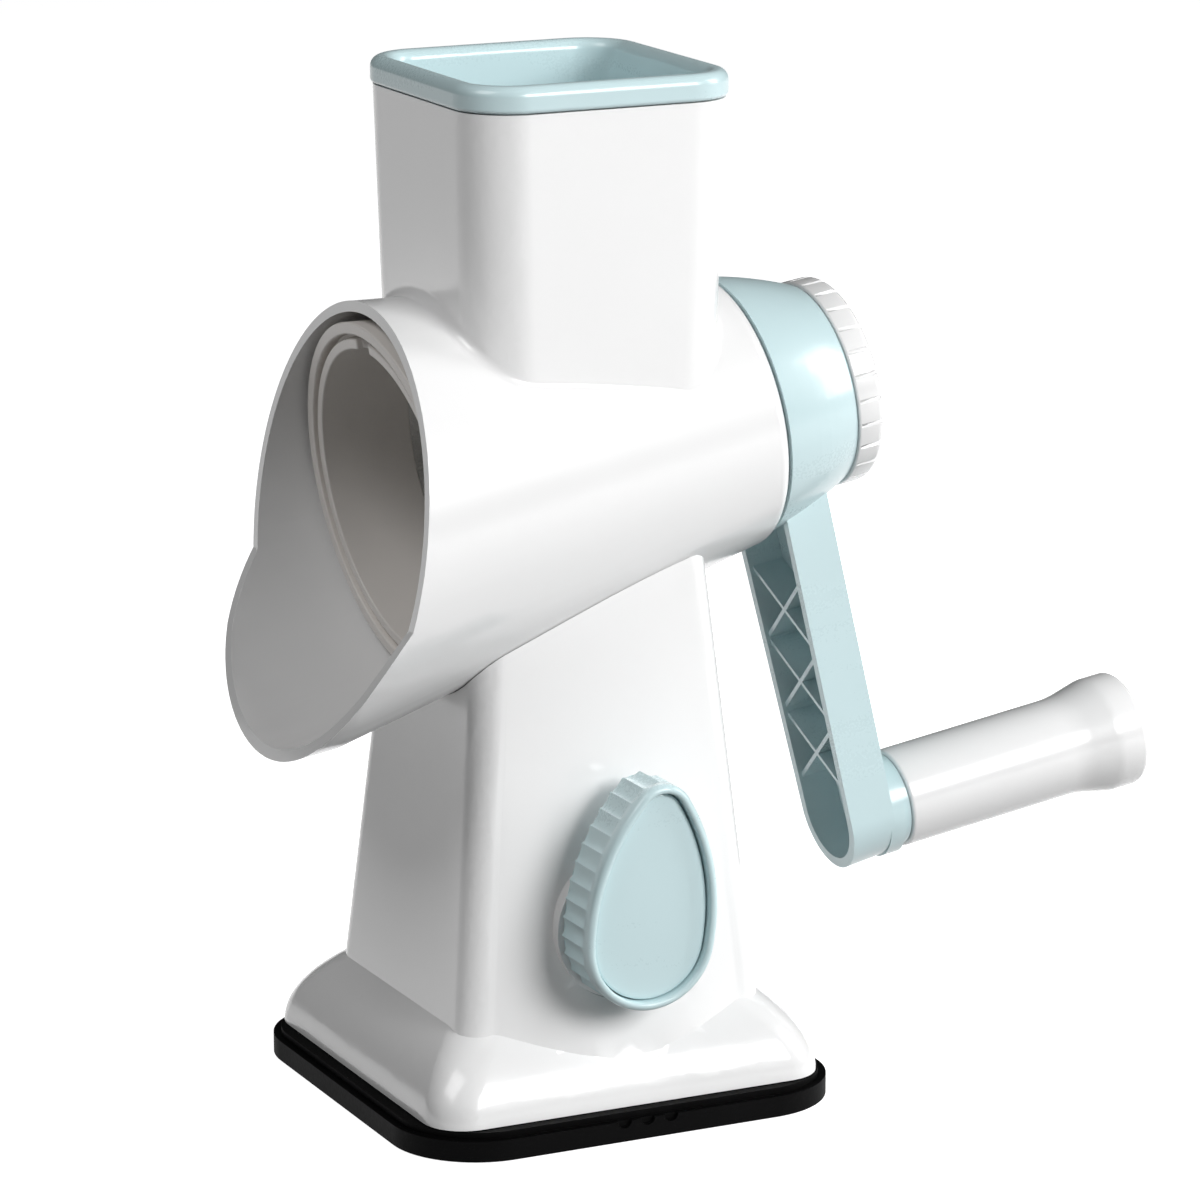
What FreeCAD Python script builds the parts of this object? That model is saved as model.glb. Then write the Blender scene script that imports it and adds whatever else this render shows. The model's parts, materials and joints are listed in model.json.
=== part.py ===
"""Rotary cheese grater: an inclined barrel with a square hopper on a suction-cup stand.

World frame: +Z up, +X along the barrel towards the crank, -Y towards the suction lever.  The
origin is the middle of the pad's underside.  Pieces that turn about the barrel's axis are drawn
in the barrel frame, where X runs along the axis and Z is square to it, and are placed afterwards.
"""
import FreeCAD, Part
import math
import os
import Sketcher
from FreeCAD import Placement, Rotation, Vector

doc = FreeCAD.newDocument("rotary_grater")

SIZES = [
    # Barrel axis and barrel shell
    ("axis_height", 176.6, "height of the barrel axis above the middle of the pad"),
    ("axis_tilt", 9.04, "slope of the barrel axis, front end low"),
    ("barrel_rear", 56.4, "rear face of the barrel, along the axis"),
    ("barrel_rear_radius", 38.6, "outer radius at the rear face"),
    ("barrel_slope", 0.16, "radius gained per length towards the front"),
    ("spout_start", -82.0, "where the cone turns into the straight spout"),
    ("barrel_front", -110.0, "uncut front end of the spout"),
    ("barrel_wall", 3.0, "wall of barrel, spout and rear end"),
    ("barrel_round", 4.5, "rounding of the barrel's rear edge"),
    ("mouth_top", -45.4, "top of the mouth, along the axis"),
    ("mouth_kink", -68.2, "where the mouth turns into the spout lip, along the axis"),
    ("mouth_kink_rise", -20.0, "height of that turn from the axis"),
    ("lip_tip", -95.3, "tip of the spout lip, along the axis"),
    ("lip_bow", 150.0, "radius of the lip's side profile"),
    ("spout_reach", 90.0, "half size of the block that cuts the mouth"),
    # Hopper
    ("hopper_centre", 1.1, "hopper centre along X"),
    ("hopper_rise", 101.4, "height of the hopper's top edge above the middle of the barrel"),
    ("hopper_half_x", 39.2, "half length of the hopper at its top"),
    ("hopper_half_y", 40.6, "half width of the hopper at its top"),
    ("hopper_draft", 0.025, "half size lost per height going down"),
    ("hopper_corner", 15.5, "corner radius of the hopper"),
    ("hopper_wall", 2.8, "hopper wall"),
    # Stand column and skirt
    ("skirt_bottom", 7.8, "lower edge of the skirt"),
    ("skirt_half", 59.1, "half size of the skirt at its lower edge"),
    ("skirt_corner", 12.0, "corner radius of the skirt"),
    ("skirt_height", 22.4, "height of the domed skirt"),
    ("column_half", 45.6, "half size of the column where it leaves the skirt"),
    ("column_draft", 0.092, "half size lost per height going up"),
    ("column_corner", 12.0, "corner radius at the back of the column"),
    ("bulge_low", 9.3, "bow of the column's front at the skirt"),
    ("bulge_middle", 4.3, "bow of the column's front at the lever"),
    ("bulge_top", 2.0, "bow of the column's front under the barrel"),
    ("front_corner", 8.0, "corner radius at the front of the column"),
    ("stand_wall", 3.0, "wall of column and skirt"),
    ("shelf_drop", 76.6, "distance of the screw shelf's underside below the barrel's middle"),
    ("shelf_wall", 3.5, "thickness of the screw shelf"),
    ("seam", 0.25, "gap between barrel and column"),
    ("joint_screw_x", 24.0, "place of the barrel's screws along X"),
    ("joint_screw_y", 22.0, "place of the barrel's screws along Y"),
    ("screw_grip", 9.0, "length of a screw in its post"),
    ("head_radius", 3.0, "head radius of the small screws"),
    ("head_height", 2.0, "head height of the small screws"),
    # Pad
    ("pad_margin", 5.5, "how far the rubber pad stands out past the skirt"),
    ("pad_corner", 25.0, "corner radius of the pad"),
    ("pad_height", 7.6, "height of the pad's edge"),
    ("pad_web", 3.2, "thickness of the pad's middle"),
    ("pad_ledge", 2.2, "width of the ledge along the pad's edge"),
    ("ledge_height", 5.8, "height of that ledge"),
    ("notch_pitch", 7.0, "distance between the notches of the ledge"),
    ("notch_radius", 2.0, "radius of the notches"),
    ("dish_radius", 30.0, "radius of the room above the pad's middle"),
    ("ring_wall", 3.0, "thickness of the pad's retaining ring"),
    ("pad_screw", 38.0, "place of the pad's screws along X and Y"),
    # Food pusher
    ("pusher_gap", 0.9, "gap between pusher cup and hopper"),
    ("pusher_depth", 42.0, "depth of the cup below the hopper's edge"),
    ("pusher_wall", 2.2, "wall of the pusher"),
    ("rim_height", 7.2, "height of the pusher's rim"),
    ("rim_overhang", 0.7, "how far the rim stands out past the hopper"),
    # Drum
    ("drum_front", -48.8, "front edge of the drum"),
    ("drum_gap", 2.73, "gap between drum and barrel"),
    ("drum_ring_end", -18.0, "rear end of the drum's front ring"),
    ("drum_rear", 45.5, "rear face of the drum"),
    ("lip_depth", 3.0, "depth of the step between the ring's two lips"),
    ("sheet_wall", 0.8, "thickness of the grating sheet"),
    ("drum_hub_length", 12.0, "length of the drum's rear hub wall"),
    # Shaft and bearing
    ("shaft_radius", 6.0, "journal radius of the drive shaft"),
    ("hex_flat", 5.0, "half width across flats of the drive shaft's hexagon"),
    ("fit_gap", 0.05, "radial clearance of running fits"),
    ("slip_gap", 0.35, "clearance between parts that move past each other"),
    ("bush_wall", 2.0, "wall of the bearing bushes"),
    ("rear_wall", 6.0, "thickness of the barrel's rear wall"),
    # Crank
    ("hub_front", 57.1, "front edge of the crank hub"),
    ("hub_front_radius", 37.0, "radius of the hub's front edge"),
    ("hub_rear", 82.1, "rear face of the hub"),
    ("hub_rear_radius", 28.8, "radius of the hub's rear face"),
    ("hub_wall", 3.0, "wall of the hub cap"),
    ("hub_bow", 110.0, "radius of the hub cap's side profile"),
    ("hub_core", 11.0, "radius of the hub's core around the shaft"),
    ("washer_wall", 1.2, "thickness of the thrust washer"),
    ("crank_length", 123.6, "axis to handle distance"),
    ("crank_turn", 3.72, "angle of the crank from straight down, towards the lever"),
    ("arm_lean", 3.3, "outward lean of the arm"),
    ("arm_foot", 15.3, "radius of the arm's round end"),
    ("arm_top_half", 18.0, "half width of the arm at the hub"),
    ("arm_depth", 13.6, "depth of the arm's channel section"),
    ("arm_wall", 2.8, "wall of the arm"),
    ("arm_face", 66.0, "open face of the arm's round end, along the axis"),
    ("collar_radius", 15.0, "radius of the collar at the handle"),
    ("collar_end", 86.0, "end of the collar, along the axis"),
    # Lock knob and grip
    ("lock_radius", 29.4, "outer radius of the lock knob"),
    ("lock_depth", 8.4, "depth of the lock knob"),
    ("grip_radius", 14.2, "radius of the grip"),
    ("grip_flare", 16.75, "radius of the grip's flared end"),
    ("grip_end", 163.6, "end of the grip, along the axis"),
    ("grip_bolt", 4.0, "radius of the grip's axle"),
    # Suction lever and its works
    ("lever_height", 56.0, "height of the lever's axis"),
    ("lever_radius", 19.2, "radius of the lever's big end"),
    ("lever_tip", 43.6, "lever axis to tip distance"),
    ("lever_tip_radius", 9.0, "radius of the lever's tip"),
    ("lever_back", 49.6, "back face of the lever, towards the column"),
    ("lever_depth", 17.6, "depth of the lever"),
    ("lever_turn", 6.0, "rest angle of the lever from upright"),
    ("lever_swing", 90.0, "angle of the turned lever from upright"),
    ("boss_radius", 19.8, "radius of the round boss behind the lever"),
    ("cam_radius", 9.0, "radius of the cam disc"),
    ("cam_throw", 2.83, "eccentricity of the cam"),
    ("cam_angle", 39.0, "cam angle below level at rest"),
    ("stem_radius", 4.0, "radius of the pull stem"),
    ("guide_height", 30.0, "underside of the guide plate"),
    ("guide_wall", 3.0, "thickness of the guide plate"),
    ("lever_bow", 60.0, "radius of the lever's bowed sides"),
    ("lever_wall", 2.4, "wall of the lever's shell"),
    ("lever_recess", 7.5, "depth of the recess in the lever's front"),
    ("face_gap", 0.9, "gap around the lever's face plate"),
    ("face_sink", 2.4, "how far the face plate lies below the rim"),
    ("lever_shaft_radius", 3.5, "radius of the lever's shaft"),
    ("bush_length", 7.0, "length of the lever shaft's bush"),
    ("frame_half", 4.0, "half width of the stem's frame along the shaft"),
    ("frame_wall", 3.0, "wall of the stem's frame"),
    ("stem_foot", 3.6, "underside of the stem plate"),
    ("foot_wall", 2.0, "thickness of the stem plate"),
    ("foot_radius", 14.0, "radius of the stem plate"),
    ("wire_radius", 0.5, "radius of the spring's wire"),
    ("spring_turns", 6.0, "turns of the return spring"),
    ("ledge_half", 12.0, "half width of the ledges that hold the guide plate"),
    ("ledge_start", 31.0, "where the ledges start along X"),
    ("ledge_screw", 34.5, "place of the guide plate's screws along X"),
    ("guide_half", 38.5, "half length of the guide plate"),
    ("guide_depth", 11.0, "half width of the guide plate"),
    ("ear_half", 8.0, "half width of the guide plate's ear"),
    ("ear_start", 7.0, "front face of the ear"),
    ("ring_inset", 4.0, "how far the pad's retaining ring stays inside the skirt"),
    ("rim_round", 3.0, "rounding of the pusher's rim"),
    ("seat_gap", 0.3, "gap between hopper edge and pusher rim"),
    ("sheet_overlap", 3.0, "length that the sheet overlaps its ring and hub"),
    ("sheet_inset", 1.2, "depth of the sheet's outside below the drum's outside"),
    ("socket_radius", 9.0, "radius of the drum's drive socket"),
    ("hex_gap", 0.1, "clearance of the drum's socket on the hexagon"),
    ("clip_wall", 1.2, "thickness of the shaft's retaining ring"),
    ("tail_radius", 3.5, "radius of the shaft's threaded tail"),
    ("arm_start", 20.0, "where the arm starts below the axis"),
    ("rib_pitch", 21.6, "pitch of the arm's crossed ribs"),
    ("rib_start", 51.0, "where the ribs start below the axis"),
    ("rib_wall", 1.2, "thickness of the ribs"),
    ("nut_half", 6.0, "half width across flats of the lock nut"),
    ("nut_height", 4.5, "height of the lock nut"),
    ("cap_depth", 3.0, "depth of the grip's end cap"),
    ("head_room", 8.0, "depth of the room for the grip's bolt head"),
    ("grip_head", 7.0, "radius of the grip's bolt head"),
    ("screw_radius", 1.5, "shank radius of the small screws"),
    ("screw_gap", 0.15, "clearance around screw shanks"),
    ("hole_gap", 0.3, "clearance of the holes that screws pass through"),
    ("past", 1.0, "how far cutting shapes run past the faces that they open"),
    ("core_gap", 1.2, "gap between the hub's front edge and its core"),
    ("washer_gap", 0.2, "gap between a washer and the face before it"),
    ("tail_length", 5.0, "length of the shaft's threaded tail"),
    ("web_cover", 1.0, "wall left between the arm's channel and the grip's axle"),
    ("outer_lip", 3.4, "width of the drum's outer lip"),
    ("lip_groove", 1.4, "width of the groove between the drum's lips"),
    ("inner_lip", 3.0, "width of the drum's inner lip"),
    ("lap_wall", 0.8, "thickness of the drum's front ring under the sheet"),
    ("lip_step", 0.8, "how far the inner lip lies behind the outer one"),
    ("ring_notch", 8.0, "width of the notches in the drum's lips"),
    ("drum_hub_wall", 3.0, "wall of the drum's rear hub"),
    ("socket_wall", 2.5, "wall around the drum's drive socket"),
    ("knob_soft", 2.5, "rounding of the lock knob's outer edge"),
    ("knob_rim", 6.0, "width of the lock knob's raised rim"),
    ("knob_dish", 2.0, "depth of the hollow in the lock knob's face"),
    ("knob_edge", 0.8, "chamfer of the lock knob's inner edge"),
    ("nut_play", 0.2, "play of the lock nut in its pocket along the axis"),
    ("cap_inset", 3.6, "distance from the grip's flared edge to its end cap"),
    ("cap_sink", 0.6, "how far the end cap lies below the grip's end"),
    ("grip_soft", 2.0, "rounding of the grip's flared end"),
    ("flare_start", 20.0, "distance of the flare's start from the grip's end"),
    ("flare_end", 9.0, "distance of the flare's widest place from the grip's end"),
    ("flare_bow", 60.0, "radius of the grip's flare"),
    ("grip_edge", 1.0, "chamfer of the grip's inner end"),
    ("head_depth", 4.0, "height of the grip's bolt head"),
    ("head_slack", 0.4, "gap between the grip's washer and its bolt head"),
    ("clip_rim", 3.0, "width of the shaft's retaining ring"),
    ("cam_clip_rim", 2.5, "width of the cam's retaining rings"),
    ("cam_clip_wall", 1.0, "thickness of the cam's retaining rings"),
    ("skirt_lap", 0.6, "how far the skirt's top lies inside the column"),
    ("column_foot", 4.0, "height above the skirt's edge where the column starts"),
    ("barrel_lap", 12.0, "how far the column reaches below the axis before the barrel cuts it"),
    ("spring_gap", 0.1, "gap between the spring and the plates at its ends"),
    ("spring_play", 1.2, "gap between the spring and the stem"),
    ("shaft_end", 2.0, "length of the lever's shaft past the guide plate's ear"),
    ("collar_step", 2.6, "length of the collar's narrow end"),
    ("collar_lip", 1.6, "radius lost at the collar's narrow end"),
    ("hatch_gap", 1.2, "how far the ribs lie below the arm's open face"),
]


class Size:
    """A number together with the sheet expression that it comes from."""

    def __init__(self, value, text):
        self.value = value
        self.text = text

    def __add__(self, other):
        other = sized(other)
        return Size(self.value + other.value, "(%s + %s)" % (self.text, other.text))

    def __sub__(self, other):
        other = sized(other)
        return Size(self.value - other.value, "(%s - %s)" % (self.text, other.text))

    def __mul__(self, other):
        other = sized(other)
        return Size(self.value * other.value, "(%s * %s)" % (self.text, other.text))

    def __truediv__(self, other):
        other = sized(other)
        return Size(self.value / other.value, "(%s / %s)" % (self.text, other.text))

    def __neg__(self):
        return self * -1

    __radd__ = __add__
    __rmul__ = __mul__

    def __rsub__(self, other):
        return sized(other) - self


def sized(number):
    """Wrap a plain number so that it can join an expression."""
    return number if isinstance(number, Size) else Size(float(number), repr(float(number)))


def sine(angle):
    return Size(math.sin(math.radians(angle.value)), "sin(%s * 1 deg)" % angle.text)


def cosine(angle):
    return Size(math.cos(math.radians(angle.value)), "cos(%s * 1 deg)" % angle.text)


def tangent(angle):
    return Size(math.tan(math.radians(angle.value)), "tan(%s * 1 deg)" % angle.text)


def root(size):
    return Size(math.sqrt(size.value), "sqrt(%s)" % size.text)


class Sheet:
    """The driving sizes: each becomes a spreadsheet cell and a Size attribute of the same name."""

    def __init__(self, rows):
        self.sheet = doc.addObject("Spreadsheet::Sheet", "Size")
        for row, (alias, value, note) in enumerate(rows, start=1):
            self.sheet.set("A%d" % row, str(value))
            self.sheet.setAlias("A%d" % row, alias)
            self.sheet.set("B%d" % row, note)
            setattr(self, alias, Size(value, "Size." + alias))
        doc.recompute()


d = Sheet(SIZES)

# Sizes that follow from others
HOPPER_TOP = d.axis_height + d.hopper_rise
PAD_HALF = d.skirt_half + d.pad_margin
SHELF = d.axis_height - d.shelf_drop


# ---------------------------------------------------------------- general helpers

def bind(thing, prop, size):
    """Drive one property by an expression."""
    thing.setExpression(prop, sized(size).text)


def put(thing, at=(0, 0, 0), axis=(0, 0, 1), turn=0):
    """Place a thing at sizes along X, Y and Z, turned about an axis by an angle in degrees."""
    at = [sized(number) for number in at]
    turn = sized(turn)
    where = Vector(*[size.value for size in at])
    thing.Placement = Placement(where, Rotation(Vector(*axis), turn.value))
    for letter, size in zip("xyz", at):
        bind(thing, "Placement.Base." + letter, size)
    if turn.value:
        thing.setExpression("Placement.Rotation.Angle", "%s * 1 deg" % turn.text)
    return thing


def on_axis(thing):
    """Move a thing from the barrel frame to its place in the world."""
    return put(thing, (0, 0, d.axis_height), (0, -1, 0), d.axis_tilt)


def named(thing, label):
    thing.Label = label
    return thing


def boolean(kind, name, base, *tools):
    """Cut, fuse or intersect shapes one after the other."""
    result = base
    for number, tool in enumerate(tools):
        step = doc.addObject("Part::" + kind, "%s_%s%d" % (name, kind.lower(), number))
        step.Base = result
        step.Tool = tool
        result = step
    return result


def cut(name, base, *tools):
    return boolean("Cut", name, base, *tools)


def fuse(name, base, *tools):
    return boolean("Fuse", name, base, *tools)


def common(name, base, *tools):
    return boolean("Common", name, base, *tools)


AXES = {"x": ((0, 1, 0), 90), "y": ((1, 0, 0), -90), "z": ((0, 0, 1), 0)}


def rod(name, radius, length, at=(0, 0, 0), along="z"):
    """Cylinder that starts at a point and runs along +X, +Y or +Z."""
    thing = doc.addObject("Part::Cylinder", name)
    bind(thing, "Radius", radius)
    bind(thing, "Height", length)
    axis, turn = AXES[along]
    return put(thing, at, axis, turn)


def cone(name, radius1, radius2, length, at=(0, 0, 0), along="z"):
    """Cone frustum that starts at a point and runs along +X, +Y or +Z."""
    thing = doc.addObject("Part::Cone", name)
    bind(thing, "Radius1", radius1)
    bind(thing, "Radius2", radius2)
    bind(thing, "Height", length)
    axis, turn = AXES[along]
    return put(thing, at, axis, turn)


def tube(name, outer, inner, length, at=(0, 0, 0), along="z"):
    """Round tube that starts at a point."""
    wall = rod(name + "_wall", outer, length, at, along)
    bore = rod(name + "_bore", inner, length, at, along)
    return cut(name, wall, bore)


def block(name, low, high):
    """Box between two corners."""
    thing = doc.addObject("Part::Box", name)
    for prop, start, end in zip(("Length", "Width", "Height"), low, high):
        bind(thing, prop, sized(end) - start)
    return put(thing, low)


def hexagon(name, half_flat, length, at=(0, 0, 0), along="x"):
    """Hexagonal bar, given by half its width across flats."""
    thing = doc.addObject("Part::Prism", name)
    thing.Polygon = 6
    bind(thing, "Circumradius", half_flat / math.cos(math.radians(30)))
    bind(thing, "Height", length)
    axis, turn = AXES[along]
    return put(thing, at, axis, turn)


def rounded(name, thing, radius, pick):
    """Fillet the edges of a shape that a test picks."""
    doc.recompute()
    fillet = doc.addObject("Part::Fillet", name)
    fillet.Base = thing
    chosen = [n for n, edge in enumerate(thing.Shape.Edges, start=1) if pick(edge)]
    if not chosen:
        raise RuntimeError(name + ": no edge was picked for its fillet")
    size = sized(radius).value
    fillet.Edges = [(n, size, size) for n in chosen]
    return fillet


# ---------------------------------------------------------------- sketches and bodies

def new_body(name):
    return doc.addObject("PartDesign::Body", name)


def new_sketch(body, name, role, level=0, lean=None):
    """Sketch on an origin plane of its own body, lifted by a size and leaned about its X axis."""
    sketch = body.newObject("Sketcher::SketchObject", name)
    plane = [feature for feature in body.Origin.OriginFeatures if feature.Role == role][0]
    sketch.AttachmentSupport = [(plane, "")]
    sketch.MapMode = "FlatFace"
    level = sized(level)
    turn = Rotation(Vector(1, 0, 0), lean.value) if lean else Rotation()
    sketch.AttachmentOffset = Placement(Vector(0, 0, level.value), turn)
    sketch.setExpression("AttachmentOffset.Base.z", level.text)
    if lean:
        sketch.setExpression("AttachmentOffset.Rotation.Angle", "%s * 1 deg" % lean.text)
    return sketch


def arc_between(start, end, radius):
    """Minor arc from start to end; a positive radius has its centre on the left of the way."""
    middle = (start + end) * 0.5
    half = (end - start) * 0.5
    left = Vector(-half.y, half.x, 0).normalize()
    reach = math.sqrt(max(radius ** 2 - half.Length ** 2, 0))
    side = 1 if radius > 0 else -1
    centre = middle + left * reach * side
    crest = centre - left * side * abs(radius)
    return Part.Arc(start, crest, end)


def outline(sketch, corners):
    """Closed outline through corners (x, y) or (x, y, radius): the radius bows the next edge."""
    corners = [[sized(number) for number in corner] for corner in corners]
    points = [Vector(corner[0].value, corner[1].value, 0) for corner in corners]
    count = len(corners)
    for number, corner in enumerate(corners):
        start, end = points[number], points[(number + 1) % count]
        if len(corner) == 3:
            sketch.addGeometry(arc_between(start, end, corner[2].value))
        else:
            sketch.addGeometry(Part.LineSegment(start, end))
    ends = []
    for number, corner in enumerate(corners):
        # A counter-clockwise arc starts where the way starts; a clockwise one is stored reversed.
        flipped = len(corner) == 3 and corner[2].value < 0
        ends.append((2, 1) if flipped else (1, 2))
    for number, corner in enumerate(corners):
        after = (number + 1) % count
        joint = Sketcher.Constraint("Coincident", number, ends[number][1], after, ends[after][0])
        sketch.addConstraint(joint)
        for kind, size, axis in (("DistanceX", corner[0], -2), ("DistanceY", corner[1], -1)):
            place = ends[number][0]
            if size.value == 0:
                sketch.addConstraint(Sketcher.Constraint("PointOnObject", number, place, axis))
                continue
            held = sketch.addConstraint(Sketcher.Constraint(kind, -1, 1, number, place, size.value))
            sketch.setExpression("Constraints[%d]" % held, size.text)
        if len(corner) == 3:
            bow = sketch.addConstraint(Sketcher.Constraint("Radius", number, abs(corner[2].value)))
            size = corner[2] if corner[2].value > 0 else -corner[2]
            sketch.setExpression("Constraints[%d]" % bow, size.text)
    return sketch


def lathe(name, corners):
    """Body turned about X from a half outline of (along X, radius) corners."""
    body = new_body(name)
    sketch = outline(new_sketch(body, name + "_outline", "XZ_Plane"), corners)
    turned = body.newObject("PartDesign::Revolution", name + "_turned")
    turned.Profile = sketch
    turned.ReferenceAxis = (sketch, ["H_Axis"])
    turned.Angle = 360
    return body


def disc(name, radius, start, end):
    """Round body about X that can be moved as a whole."""
    return lathe(name, [(start, 0), (end, 0), (end, radius), (start, radius)])


def plate(name, role, corners, thickness, level=0, lean=None):
    """Body made by padding an outline."""
    body = new_body(name)
    sketch = outline(new_sketch(body, name + "_outline", role, level, lean), corners)
    pad = body.newObject("PartDesign::Pad", name + "_pad")
    pad.Profile = sketch
    bind(pad, "Length", thickness)
    return body


def rounded_box_corners(half_x, half_y, radius, centre=0, low_y=None):
    """Corners of a rectangle with four quarter-round corners, for outline()."""
    half_x, half_y, radius, centre = [sized(n) for n in (half_x, half_y, radius, centre)]
    low_y = -half_y if low_y is None else low_y
    left, right = centre - half_x, centre + half_x
    return [(right, low_y + radius), (right, half_y - radius, radius),
            (right - radius, half_y), (left + radius, half_y, radius),
            (left, half_y - radius), (left, low_y + radius, radius),
            (left + radius, low_y), (right - radius, low_y, radius)]


def loft(name, sections):
    """Body lofted upwards through outlines: a list of (height, corners)."""
    body = new_body(name)
    sketches = []
    for number, (level, corners) in enumerate(sections):
        sketch = new_sketch(body, "%s_section%d" % (name, number), "XY_Plane", level)
        sketches.append(outline(sketch, corners))
    lofted = body.newObject("PartDesign::AdditiveLoft", name + "_loft")
    lofted.Profile = sketches[0]
    lofted.Sections = sketches[1:]
    lofted.Ruled = len(sections) == 2
    return body


# ---------------------------------------------------------------- barrel, spout and hopper

def barrel_radius(along):
    """Outer radius of the barrel's cone at a place along its axis."""
    return d.barrel_rear_radius + d.barrel_slope * (d.barrel_rear - along)


def barrel_solid(name, grow, rear, round_rear=False):
    """Solid of revolution inside the barrel's outer skin, grown or shrunk by a wall."""
    spout = barrel_radius(d.spout_start) + grow
    rear_radius = barrel_radius(rear) + grow
    front = d.barrel_front + grow
    corners = [(front, 0), (rear, 0), (rear, rear_radius), (d.spout_start, spout), (front, spout)]
    if round_rear:
        soft = d.barrel_round
        corners[2:3] = [(rear, rear_radius - soft, soft), (rear - soft, barrel_radius(rear - soft))]
    return on_axis(lathe(name, corners))


def hopper_solid(name, inset, bottom, top):
    """Tapered rounded-square prism of the hopper, moved in by a wall."""
    sections = []
    for level in (bottom, top):
        shrink = d.hopper_draft * (HOPPER_TOP - level) + inset
        corners = rounded_box_corners(d.hopper_half_x - shrink, d.hopper_half_y - shrink,
                                      d.hopper_corner - inset, d.hopper_centre)
        sections.append((level, corners))
    return loft(name, sections)


def barrel_housing():
    skin = barrel_solid("barrel_skin", 0, d.barrel_rear, round_rear=True)
    hollow = barrel_solid("barrel_hollow", -d.barrel_wall, d.barrel_rear - d.rear_wall)
    tower = hopper_solid("hopper_skin", 0, d.axis_height, HOPPER_TOP)
    throat = hopper_solid("hopper_throat", d.hopper_wall, d.axis_height, HOPPER_TOP + d.past)
    front = d.barrel_front - d.past
    reach = d.spout_reach
    spout = barrel_radius(d.spout_start)
    mouth = plate("mouth_cut", "XZ_Plane", [
        (front, -reach), (d.lip_tip, -reach), (d.lip_tip, -spout, -d.lip_bow),
        (d.mouth_kink, d.mouth_kink_rise), (d.mouth_top, barrel_radius(d.mouth_top)),
        (d.mouth_top, reach), (front, reach)], reach * 2, -reach)
    bore = on_axis(disc("bearing_bore", d.shaft_radius + d.fit_gap + d.bush_wall,
                        d.barrel_rear - d.rear_wall - d.past, d.barrel_rear + d.past))
    shell = fuse("housing_shell", skin, tower)
    bosses = screw_posts("housing_boss", d.screw_radius * 3, SHELF + d.shelf_wall,
                         d.axis_height - d.barrel_rear_radius)
    shell = fuse("housing_bossed", shell, *bosses)
    pilots = screw_posts("housing_pilot", d.screw_radius + d.screw_gap, SHELF,
                         d.screw_grip * 2)
    housing = cut("housing", shell, hollow, throat, on_axis(mouth), bore, *pilots)
    return named(housing, "barrel_housing")


def screw_posts(name, radius, bottom, height):
    """Four upright rods at the screws that join barrel and column."""
    spread_x, spread_y = d.joint_screw_x, d.joint_screw_y
    return [rod("%s%d" % (name, n), radius, height, (spread_x * sx, spread_y * sy, bottom))
            for n, (sx, sy) in enumerate(((1, 1), (-1, 1), (-1, -1), (1, -1)))]


# ---------------------------------------------------------------- stand column

def column_half(level):
    return d.column_half - d.column_draft * (level - d.skirt_bottom - d.skirt_height)


def column_corners(level, bulge, inset):
    """Section of the column: square, with a bowed front face and softer corners at the back."""
    half = column_half(level) - inset
    back = d.column_corner - inset
    soft = d.front_corner - inset
    chord = half - soft
    bow = (chord * chord + bulge * bulge) / (bulge * 2)
    return [(half, -half + soft), (half, half - back, back), (half - back, half),
            (-half + back, half, back), (-half, half - back), (-half, -half + soft, soft),
            (-half + soft, -half, bow), (half - soft, -half, soft)]


def column_solid(name, inset, bottom):
    levels = [(bottom, d.bulge_low), (d.lever_height, d.bulge_middle),
              (d.axis_height - d.barrel_lap, d.bulge_top)]
    return loft(name, [(level, column_corners(level, bulge, inset)) for level, bulge in levels])


def skirt_solid(name, inset):
    """Domed skirt: its half size shrinks with the square of the height."""
    sections = []
    for part in (0, 0.3, 0.6, 0.85, 1):
        half = d.skirt_half - (d.skirt_half - d.column_half + d.skirt_lap) * part ** 2 - inset
        level = d.skirt_bottom + d.skirt_height * part - inset * part
        sections.append((level, rounded_box_corners(half, half, d.skirt_corner - inset)))
    return loft(name, sections)


def corner_posts(name, radius, spread, bottom, height):
    return [rod("%s%d" % (name, n), radius, height, (spread * sx, spread * sy, bottom))
            for n, (sx, sy) in enumerate(((1, 1), (-1, 1), (-1, -1), (1, -1)))]


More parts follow.
